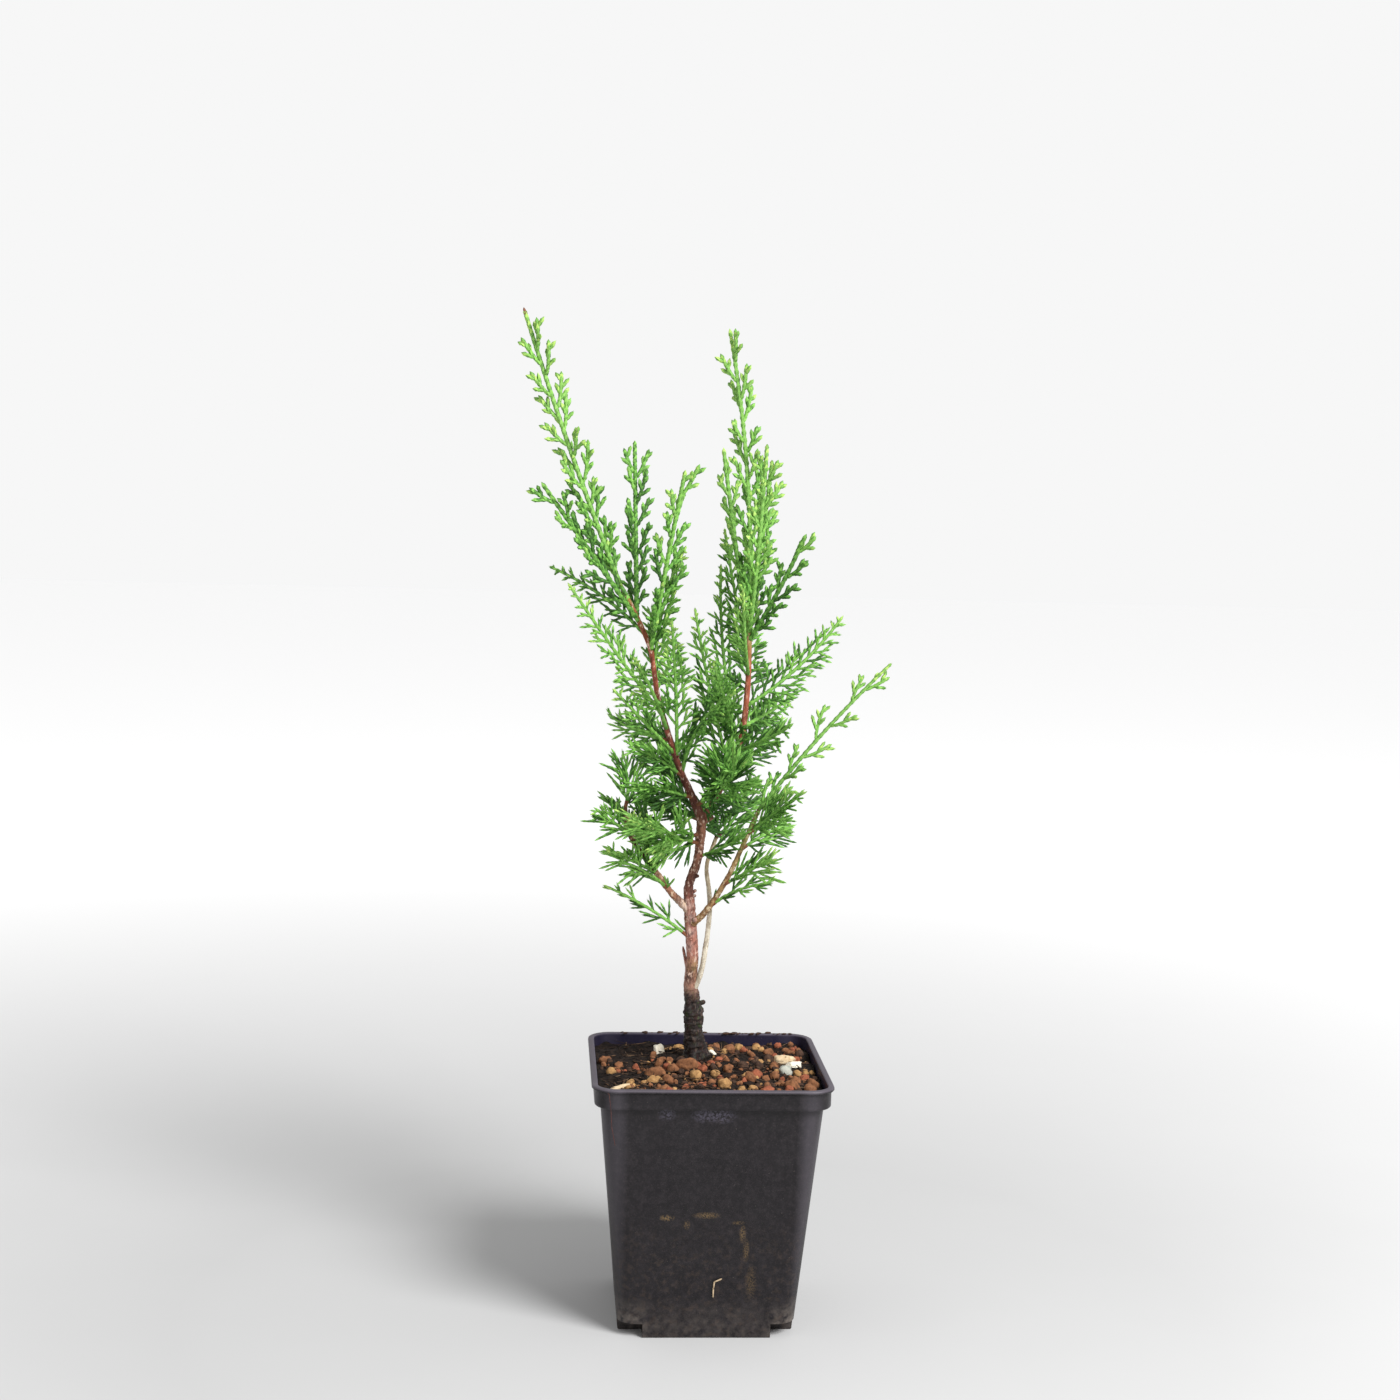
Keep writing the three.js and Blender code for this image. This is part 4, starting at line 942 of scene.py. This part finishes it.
RODS = dict(SPRAY, pace=3.8)
FAN = dict(SPRAY, pace=1.6, lean=(64, 44), tilt=60)
# The left fronds in front have no twigs on this share of their foot, so the trunk shows beside them
FRONT_BARE = 0.17
# name, limb, height it leaves at, bearing, rise, length, longest twig, roll of its fan, bow, habit, and
# how light its green is, from 0 to 3, set darker for masses deep in the crown and at its back, partly as
# painted shade
MASSES = [
    ("left_tip", "trunk", "end", -168, 69, 106, 15, -100, 1, WHIP, 2.4),
    ("right_tip", "right_leader", "end", 165, 84, 101, 13, 75, -2.5, WHIP, 2.4),
    ("right_bough_tip", "right_bough", "end", -10, 50, 74, 14, 80, -1.5, CORD, 2.5),
    ("left_whip_low", "trunk", 266, -155, 51, 65, 12, 85, 0, WHIP, 0.8),
    ("left_frond_high", "trunk", 261, 170, 34, 44, 9, 80, -2.5, FROND, 0.2),
    ("left_frond_long", "trunk", 230, -148, 49, 66, 11, 85, 0.5, FROND, 1.7),
    ("left_frond_back", "trunk", 221, 148, 16, 28, 10, 70, 1.5, SPRAY, 1.0),
    ("middle_whip_back", "trunk", 268, 93, 69, 70, 13, 0, 0.5, WHIP, 0.1),
    ("middle_whip_front", "trunk", 255, -66, 70, 71, 14, 10, -0.5, WHIP, 1.7),
    ("centre_frond_left", "trunk", 213, -100, 63, 61, 12, 5, -4, FROND, 1.8),
    ("centre_frond_mid", "right_leader", 209, -128, 67, 68, 13, 10, 1.5, FROND, 1.6),
    ("centre_frond_back", "right_leader", 218, 114, 75, 71, 11, 0, 5, FROND, 1.2),
    ("right_frond_back", "right_leader", 253, 110, 62, 54, 10, 10, 1.5, FROND, 1.6),
    ("right_whip_front", "right_leader", 262, -83, 73, 74, 11, 20, 2, WHIP, 2.4),
    ("right_whip_left", "right_leader", 258, 115, 72, 77, 11, 30, 0.5, WHIP, 1.9),
    ("right_whip_back", "right_leader", 266, 63, 73, 64, 12, 40, 1, WHIP, 1.5),
    ("right_whip_side", "right_leader", 259, -44, 58, 48, 12, 75, 1, WHIP, 0.7),
    ("right_feather", "right_leader", 234, 1, 44, 50, 14, 85, 2.5, FROND, 1.0),
    ("right_frond_low", "right_leader", 226, 48, 17, 33, 12, 70, 0.5, FROND, 0.9),
    ("right_frond_near", "right_leader", 217, -46, 25, 29, 12, 60, 1, FROND, 1.3),
    ("right_fan", "right_bough", 186, -49, 35, 30, 13, 70, 0, SPRAY, 1.7),
    ("right_fan_back", "right_bough", 180, 29, 21, 24, 12, 60, -1, SPRAY, 1.0),
    ("right_low", "right_bough", 166, -32, 31, 23, 12, 60, 0, SPRAY, 1.9),
    ("left_bough_tip", "left_bough", "end", -137, 81, 19, 12, 60, -2.5, SPRAY, 0.7),
    ("left_bough_front", "left_bough", 187, -135, 29, 20, 11, 60, 0.5, SPRAY, 1.6),
    ("left_bough_back", "left_bough", 182, 121, 36, 25, 11, 50, -2.5, SPRAY, 0.7),
    ("left_bough_under", "left_bough", 170, -136, 23, 29, 12, 40, -0.5, SPRAY, 2.0),
    ("left_low", "trunk", 143, -163, 32, 42, 8, 80, -1.5, RODS, 1.0),
    ("left_middle", "trunk", 207, -157, 28, 26, 12, 70, -1.5, SPRAY, 1.0),
    ("front_left_low", "trunk", 216, -135, 37, 43, 12, 40, 0, FROND, 1.2),
    ("front_low", "trunk", 181, -128, 17, 49, 15, 30, 0, FAN, 2.4),
    ("front_middle", "trunk", 196, -66, 29, 43, 16, 20, 1.5, FAN, 1.2),
    ("front_left", "trunk", 225, -116, 42, 44, 11, 10, -1.5, FROND, 2.1),
    ("front_right", "right_leader", 218, -109, 40, 54, 13, 0, -0.5, FROND, 1.4),
    ("front_high", "right_leader", 246, -101, 51, 43, 11, 0, 3.5, FROND, 2.2),
    ("back_left", "trunk", 205, 110, 31, 43, 14, 20, 2.5, SPRAY, 0.8),
    ("back_middle", "trunk", 186, 74, 24, 42, 14, 30, 3, SPRAY, 0.6),
    ("back_right", "right_leader", 210, 63, 29, 46, 14, 20, 3, SPRAY, 0.8),
    ("back_high", "trunk", 241, 75, 25, 38, 12, 10, 2.5, FROND, 0.8),
    ("back_top", "right_leader", 238, 83, 44, 46, 13, 10, 4, FROND, 0.7),
    ("back_low", "pale_stem", "end", 51, 40, 32, 14, 20, 3, SPRAY, 0.8),
    ("heart_left", "trunk", 199, -137, 11, 33, 14, 40, -1, SPRAY, 1.2),
    ("heart_left_low", "trunk", 186, -159, -7, 25, 14, 60, 2.5, SPRAY, 1.7),
    ("heart_back", "trunk", 190, 129, 6, 32, 14, 40, -0.5, SPRAY, 0.5),
    ("heart_right", "trunk", 176, -42, 25, 23, 13, 60, 0.5, SPRAY, 0.9),
    ("heart_fork", "right_leader", 200, -85, 48, 29, 15, 20, 4.5, FAN, 0.6),
    ("heart_cross", "trunk", 208, -53, 49, 44, 14, 70, -5.5, FROND, 0.9),
    ("middle_frond", "trunk", 245, -47, 74, 51, 13, 80, -4, FROND, 2.0),
    ("left_bough_heart", "left_bough", 175, 95, 52, 28, 13, 50, -2, FAN, 0.7),
    ("left_bough_low", "left_bough", 163, -140, 28, 29, 10, 60, -1.5, RODS, 1.5),
    ("right_bough_low", "right_bough", 157, -30, 25, 28, 10, 60, -2, RODS, 1.2),
    ("heart_back_left", "trunk", 194, 128, 44, 30, 14, 30, 3.5, SPRAY, 0.4),
    ("heart_back_right", "right_leader", 203, 86, 33, 22, 14, 30, 6, FAN, 0.4),
]
# The limbs are green above these heights, where their scale leaves haven't yet given way to bark
GREEN_FROM = {"trunk": 274, "right_leader": 260, "right_bough": 187, "left_bough": 189}
LIMB_CLADDING = 1.18
# Within this reach of this place the crown is in its own shade, and its green is darker
SHADED_HEART = (Vector((-2, 4, 200)), 26)
UP = Vector((0, 0, 1))
# Beyond the line itself, a leafy line has these: how far apart its leaves are, its green, how long its
# pale end is, and how far its leaves stand open
PITCH, GREEN, PALE_END, OPEN = 15, 16, 17, 18


def on_line(row, s):
    """The place and the direction at a length along a line."""
    root, out, bend = Vector(row[0:3]), Vector(row[3:6]), Vector(row[6:9])
    return root + out * s + bend * s * s, (out + 2 * bend * s).normalized()


def leafy(root, out, bend, across, long, girth, habit, green):
    """A leafy line. The darker it is, the shorter its pale end."""
    tip = habit["tip"] * min(1, 0.5 + 0.3 * green) if long < 40 else 4
    return (*root, *out, *bend, *across, long, *girth, habit["pitch"], green, tip, habit["open"])


def branched(ahead, toward, angle, curl, long, place, *leaf):
    """A line that leaves another at an angle and then curls part of the way back to its direction."""
    toward = (toward - ahead * toward.dot(ahead)).normalized()
    out = ahead * math.cos(angle) + toward * math.sin(angle)
    across = out.cross(ahead.cross(toward))
    return leafy(place, out * (1 - curl), ahead * curl / long, across, long, *leaf)


def grown(index, mass):
    """Every line of a mass: its stem, its twigs with their shoots, and the side shoots of those."""
    name, limb, at, turn, rise, long, reach, roll, bow, habit, green = mass
    draws = seeded(1009 + 97 * index)

    def spread(amount):
        return amount * (2 * next(draws) - 1)

    def toned(green, amount, place):
        heart, far = SHADED_HEART
        shade = max(0, 1 - (place - heart).length / far)
        return min(3, max(0, green + spread(amount) - 0.8 * shade))

    foot, out, down = limb_place(limb, at), bearing(turn, rise), bearing(turn, rise - 90)
    side = Matrix.Rotation(math.radians(roll), 3, out) @ out.cross(UP).normalized()
    face = out.cross(side)
    stem = leafy(foot, out + down * 4 * bow / long, -down * 4 * bow / long ** 2, side, long,
                 habit["stem"], habit, min(3, green + 0.6))
    lines = {"stems": [stem], "twigs": [], "shoots": [], "sides": []}
    for i in range(round(habit["nubs"] * long / 4)):
        place, ahead = on_line(stem, long * (0.12 + 0.84 * next(draws)))
        turned = Matrix.Rotation(2.4 * i, 3, ahead) @ side
        size = habit["nub"] * (0.6 + 0.7 * next(draws))
        lean = math.radians(30 + spread(8))
        leaf = (habit["girth"], habit, toned(green, 0.6, place))
        lines["sides"].append(branched(ahead, turned, lean, 0.1, size, place, *leaf))
    low, high = habit["zone"]
    if name.startswith("front_left"):
        low = FRONT_BARE
    count = round((high - low) * long / habit["pace"])
    for i in range(count):
        t = low + (high - low) * ((i + 0.5 + spread(0.35)) / count) ** habit["crowd"]
        place, ahead = on_line(stem, t * long)
        tilt = math.radians(spread(habit["tilt"]))
        away = side * (math.cos(tilt) if i % 2 else -math.cos(tilt)) + face * math.sin(tilt)
        lean = math.radians(habit["lean"][0] * (1 - t) + habit["lean"][1] * t + spread(7))
        size = reach * min(1, 0.6 + 1.6 * t) * (1 - t) ** habit["share"] * (0.76 + 0.46 * next(draws))
        girth = [g * min(1, 0.8 + size / 40) for g in habit["girth"]]
        # Painted shade: the green is made darker toward the foot of the mass and in the shaded heart.
        tone = toned(green + habit["fade"] * (t - 0.55), 1.1, place)
        twig = branched(ahead, away, lean, habit["curl"], size, place, girth, habit, tone)
        lines["twigs"].append(twig)
        flat = Vector(twig[9:12]).normalized()
        shoots = max(1, int(size / habit["every"]))
        for k in range(shoots):
            start = size * (habit["from"] + (habit["until"] - habit["from"]) * (k + 0.8) / (shoots + 0.6))
            place2, ahead2 = on_line(twig, start)
            toward = Matrix.Rotation(math.radians(spread(0.7 * habit["tilt"])), 3, ahead2) @ flat
            toward = toward if k % 2 else -toward
            shoot_size = habit["shoot"] * (0.68 + 0.5 * next(draws)) * (1 - 0.5 * start / size)
            shoot_size = min(shoot_size, 0.85 * size)
            tone2 = toned(tone, 0.9, place2)
            splay = math.radians(habit["splay"] + spread(8))
            shoot = branched(ahead2, toward, splay, 0.12, shoot_size, place2, girth, habit, tone2)
            lines["shoots"].append(shoot)
            sides = int(shoot_size / habit["side_from"] * 2) - 1
            for j in range(sides):
                place3, ahead3 = on_line(shoot, shoot_size * (j + 0.9) / (sides + 0.9))
                turned = Matrix.Rotation(math.radians(spread(45)), 3, ahead3) @ toward
                turned = turned if j % 2 else -turned
                side_size = habit["side"] * (0.6 + 0.5 * next(draws))
                splay = math.radians(habit["splay"] + spread(10))
                lines["sides"].append(branched(ahead3, turned, splay, 0.1, side_size, place3, girth,
                                               habit, tone2))
    return lines


limb_points = np.array([at for line in limb_lines.values() for at, _ in line[::2]])
limb_radii = np.array([radius for line in limb_lines.values() for _, radius in line[::2]])
# Between these heights the trunk and the leader show from the front: limb, lower and upper height
OPEN_STRIPS = [("trunk", 150, 231), ("trunk", 238, 276), ("right_leader", 229, 264)]
STRIP_EDGE = 0.7
# From there a line of sight goes so far to the left and so far up for each millimetre to the front
SIGHT_LEFT, SIGHT_UP = 0.07, 0.09
strip = [pair for name, low, high in OPEN_STRIPS for pair in limb_lines[name][::2]
         if low < pair[0].z < high]
strip_points, strip_radii = np.array([at for at, _ in strip]), np.array([radius for _, radius in strip])


def clear_of_limbs(rows):
    """The lines that stay out of the wood and don't cross the open strips in front of it."""
    rows = np.array(rows, float)
    keep = np.ones(len(rows), bool)
    for share in (0.25, 0.5, 0.75, 1.0):
        at = along_lines(rows, rows[:, LENGTH, None] * share)[0][:, 0]
        if share in (0.5, 1.0):
            gap = np.linalg.norm(at[:, None] - limb_points[None], axis=2) - limb_radii
            keep &= gap.min(1) > rows[:, END_RADIUS] + 0.1
        x, y, z = np.moveaxis(at[:, None] - strip_points[None], 2, 0)
        aside = np.hypot(x - SIGHT_LEFT * y, z + SIGHT_UP * y) - strip_radii
        keep &= ~((y < 0) & (aside < STRIP_EDGE)).any(1)
    return rows[keep]


def limb_cladding(limb):
    """The lines of the leaves that still clothe a limb's young end."""
    line = [pair for pair in limb_lines[limb] if pair[0].z > GREEN_FROM[limb]][::8]
    rows = []
    for (foot, radius), (end, end_radius) in zip(line, line[1:]):
        out = (end - foot).normalized()
        long = (end - foot).length
        girth = (LIMB_CLADDING * radius, LIMB_CLADDING * end_radius)
        rows.append(leafy(foot, out, (0, 0, 0), out.cross(UP), long, girth, dict(WHIP, tip=0), 1.5))
    return np.array(rows)


# A scale leaf, by its places along, out from and round its line: base, widest part, keel and point
LEAF_POINTS = np.array([(0, 0.25, -0.78), (0, 0.25, 0.78), (0.45, 0.62, -0.84), (0.45, 0.62, 0.84),
                        (0.5, 1.07, 0), (1, 0.95, 0)])
LEAF_FACES = np.array([(0, 1, 4), (0, 4, 2), (1, 3, 4), (2, 4, 5), (4, 3, 5)])
LEAF_LAP = 1.75


def scale_leaves(rows, bare=None):
    """The pairs of leaves along each line, each pair at right angles to the last: points, and green."""
    bare = np.zeros(len(rows)) if bare is None else bare
    count = np.maximum(2, np.rint(rows[:, LENGTH] / rows[:, PITCH])).astype(int)
    which = np.repeat(np.arange(len(rows)), count)
    pair = np.arange(len(which)) - np.repeat(np.cumsum(count) - count, count)
    share = (pair + 0.1) / count[which]
    which, pair, share = (a[share >= bare[which]] for a in (which, pair, share))
    lines = rows[which]
    at, ahead, across, other = (a[:, 0] for a in along_lines(lines, (share * lines[:, LENGTH])[:, None]))
    radius = lines[:, ROOT_RADIUS] * (1 - share) + lines[:, END_RADIUS] * share
    last = pair == count[which] - 1
    leaf_long = LEAF_LAP * lines[:, LENGTH] / count[which]
    points, greens = [], []
    for half in (0, math.pi):
        angle = pair * math.pi / 2 + half + 0.35 + which * 0.7
        out = np.cos(angle)[:, None] * across + np.sin(angle)[:, None] * other
        round_it = np.cross(ahead, out)
        u, v, w = LEAF_POINTS.T
        open_out = 1 + lines[:, OPEN, None] * u
        v = np.where(last[:, None] & (u == 1), 0.12, v * open_out)
        made = at[:, None] + (leaf_long[:, None] * u)[..., None] * ahead[:, None]
        made = made + (radius[:, None] * v)[..., None] * out[:, None]
        made = made + (radius[:, None] * w)[..., None] * round_it[:, None]
        points.append(made)
        to_end = (1 - share) * lines[:, LENGTH]
        paler = (to_end < lines[:, PALE_END]) * 1 + (to_end < 2.4 * lines[:, PALE_END])
        greens.append(np.clip(np.rint(lines[:, GREEN]) + paler, DARK, TIP))
    return np.concatenate(points), np.concatenate(greens)


LEAF_COLOURS = {
    DARK: ("dark", rgb(43, 80, 34), rgb(68, 110, 47)),
    MID: ("mid", rgb(100, 158, 66), rgb(128, 184, 84)),
    BRIGHT: ("bright", rgb(120, 178, 76), rgb(146, 200, 96)),
    LIGHT: ("light", rgb(122, 176, 80), rgb(146, 194, 100)),
    TIP: ("tip", rgb(158, 198, 92), rgb(186, 216, 118)),
}
leaf_finish = {}
for green, (name, first, second) in LEAF_COLOURS.items():
    leaf_finish[green] = mottled(f"leaf_{name}", first, second, size=2.0, grain=0.25, depth=0.05,
                                 roughness=0.55, shine=0.25, low=0.3, high=0.7)

TWIG_COLOURS = {
    "pale": (rgb(104, 158, 68), rgb(128, 178, 88)),
    "green": (rgb(68, 116, 45), rgb(92, 144, 60)),
    "brown": (rgb(112, 66, 46), rgb(150, 98, 66)),
}
twig_finish = {}
for name, (first, second) in TWIG_COLOURS.items():
    twig_finish[name] = mottled(f"twig_{name}", first, second, size=1.6, grain=0.3, depth=0.08,
                                roughness=0.6, shine=0.3, stretch=(1, 1, 2))

# Under its leaves every line is a thinner tube with so many sides and rings, and is pale from a green of
# this lightness on
PALE_FROM = 1.5
CORE = 0.9
STRANDS = {"stems": (6, 14), "twigs": (5, 5), "shoots": (5, 4), "sides": (4, 3)}
ZONES = {
    "left_crown": ["trunk"],
    "right_crown": ["right_leader"],
    "bough_crown": ["left_bough", "right_bough", "pale_stem"],
}
for zone, limbs in ZONES.items():
    masses = [mass for mass in MASSES if mass[1] in limbs]
    nodes = [f"foliage_{mass[0]}" for mass in masses]
    lines = {kind: [] for kind in STRANDS}
    for mass in masses:
        for kind, rows in grown(MASSES.index(mass), mass).items():
            lines[kind] += rows
    rows = {kind: np.array(found) if kind == "stems" else clear_of_limbs(found)
            for kind, found in lines.items()}
    core = {kind: found.copy() for kind, found in rows.items()}
    for found in core.values():
        found[:, ROOT_RADIUS:END_RADIUS + 1] *= CORE
    for name, slot in (("green", "frond_green"), ("pale", "whip_green")):
        inner = {kind: found[(found[:, GREEN] >= PALE_FROM) == (name == "pale")]
                 for kind, found in core.items()}
        skin = [tubes(inner[kind], *detail) for kind, detail in STRANDS.items() if len(inner[kind])]
        placed(shaped(f"{zone}_{name}_twigs", *joined(skin), twig_finish[name]), slot, *nodes)
    brown = np.array([mass[-2]["woody"] for mass in masses])
    woody = rows["stems"][brown > 0]
    if len(woody):
        share = brown[brown > 0]
        woody[:, END_RADIUS] = woody[:, ROOT_RADIUS] * (1 - share) + woody[:, END_RADIUS] * share
        woody[:, LENGTH] *= share
        stems = tubes(woody, sides=8, rings=12)
        placed(shaped(f"{zone}_woody_twigs", *stems, twig_finish["brown"]), "bark", *nodes)
    clad = [scale_leaves(limb_cladding(limb)) for limb in limbs if limb in GREEN_FROM]
    clad += [scale_leaves(rows["stems"], bare=0.8 * brown)]
    clad += [scale_leaves(rows[kind]) for kind in ("twigs", "shoots", "sides")]
    points = np.concatenate([p for p, _ in clad])
    greens = np.concatenate([g for _, g in clad])
    for tone, (name, _, _) in LEAF_COLOURS.items():
        these = points[greens == tone]
        faces = LEAF_FACES + (np.arange(len(these)) * len(LEAF_POINTS))[:, None, None]
        slot = "whip_green" if tone >= BRIGHT else "frond_green"
        skin = (these.reshape(-1, 3), faces.reshape(-1, 3), leaf_finish[tone])
        placed(shaped(f"{zone}_{name}_leaves", *skin), slot, *nodes)

# The highest shoot ends in a dry brown bud
BUD_LONG = 1.9
BUD_RADIUS = (0.8, 0.42)
stem = grown(0, MASSES[0])["stems"][0]
place, ahead = on_line(stem, stem[LENGTH] - 0.4 * BUD_LONG)
bud = (*place, *ahead, 0, 0, 0, *ahead.cross(UP).normalized(), BUD_LONG, *BUD_RADIUS)
placed(shaped("tip_bud", *tubes([bud], sides=8, rings=5), twig_finish["brown"]), "bark")


# Studio
# A plain pale floor that fades into a pale room all round, one large soft lamp above the front right, and
# a camera at the height and the angle from which the plant was seen.
FLOOR_SIZE = 12
# How pale the room looks, and how much light it sends onto the plant
ROOM_TONE = 0.93
ROOM_LIGHT = 0.54
KEY_POWER = 26
KEY_SIZE = 0.7
KEY_PLACE, KEY_AIM = Vector((0.7, -0.9, 1.1)), Vector((0, 0, 0.2))
# The floor starts to fade at the first distance and is as pale as the room at the second, in metres
FADE_START, FADE_END = 0.2, 1.1
FAR_FLOOR = 0.9
floor_finish, tree, shader = new_finish("studio_floor", Roughness=0.9, Specular_IOR_Level=0.1)
fade = between(tree, vector(tree, "LENGTH", own_place(tree)), FADE_START, FADE_END, 0, 1)
near_tone = use(tree, MOTTLE, Size=300.0, First=(0.62, 0.62, 0.62, 1), Second=(0.64, 0.64, 0.64, 1))
colour = mixed(tree, fade, near_tone["Color"], (FAR_FLOOR, FAR_FLOOR, FAR_FLOOR, 1))
tree.links.new(colour, shader.inputs["Base Color"])
glow = mixed(tree, fade, (0, 0, 0, 1), (1, 1, 1, 1))
tree.links.new(glow, shader.inputs["Emission Color"])
shader.inputs["Emission Strength"].default_value = ROOM_TONE - ROOM_LIGHT * FAR_FLOOR
floor_mesh = bpy.data.meshes.new("studio_floor")
half = FLOOR_SIZE / 2
corners = [(-half, -half, 0), (half, -half, 0), (half, half, 0), (-half, half, 0)]
floor_mesh.from_pydata(corners, [], [(0, 1, 2, 3)])
floor_mesh.materials.append(floor_finish)
floor = bpy.data.objects.new("studio_floor", floor_mesh)
floor.location.z = -0.05 * MM
bpy.context.scene.collection.objects.link(floor)

scene = bpy.context.scene
scene.world = bpy.data.worlds.new("studio_light")
scene.world.use_nodes = True
tree = scene.world.node_tree
room = tree.nodes["Background"].inputs
seen = node(tree, "ShaderNodeLightPath").outputs["Is Camera Ray"]
tree.links.new(between(tree, seen, 0, 1, ROOM_LIGHT, ROOM_TONE), room["Strength"])
room["Color"].default_value = (1, 1, 1, 1)
scene.view_settings.view_transform = "Standard"

lamp = bpy.data.lights.new("key_lamp", "AREA")
lamp.shape, lamp.size, lamp.energy = "DISK", KEY_SIZE, KEY_POWER
key = bpy.data.objects.new("key_lamp", lamp)
key.location = KEY_PLACE
key.rotation_euler = (KEY_AIM - KEY_PLACE).to_track_quat("-Z", "Y").to_euler()
scene.collection.objects.link(key)

VIEW_LENS = 58.04
VIEW_PLACE = (-66.4, -850.4, 316)
VIEW_AHEAD = (0.0706, 0.9975)
VIEW_DOWN, VIEW_ROLL = math.radians(5.3), math.radians(1.49)
camera = bpy.data.cameras.new("camera")
camera.lens, camera.sensor_width, camera.clip_start = VIEW_LENS, 36, 0.01
view = bpy.data.objects.new("camera", camera)
scene.collection.objects.link(view)
ahead = Vector((*(c * math.cos(VIEW_DOWN) for c in VIEW_AHEAD), -math.sin(VIEW_DOWN)))
turned = ahead.to_track_quat("-Z", "Y").to_matrix() @ Matrix.Rotation(VIEW_ROLL, 3, "Z")
view.matrix_world = Matrix.Translation(Vector(VIEW_PLACE) * MM) @ turned.to_4x4()
scene.camera = view
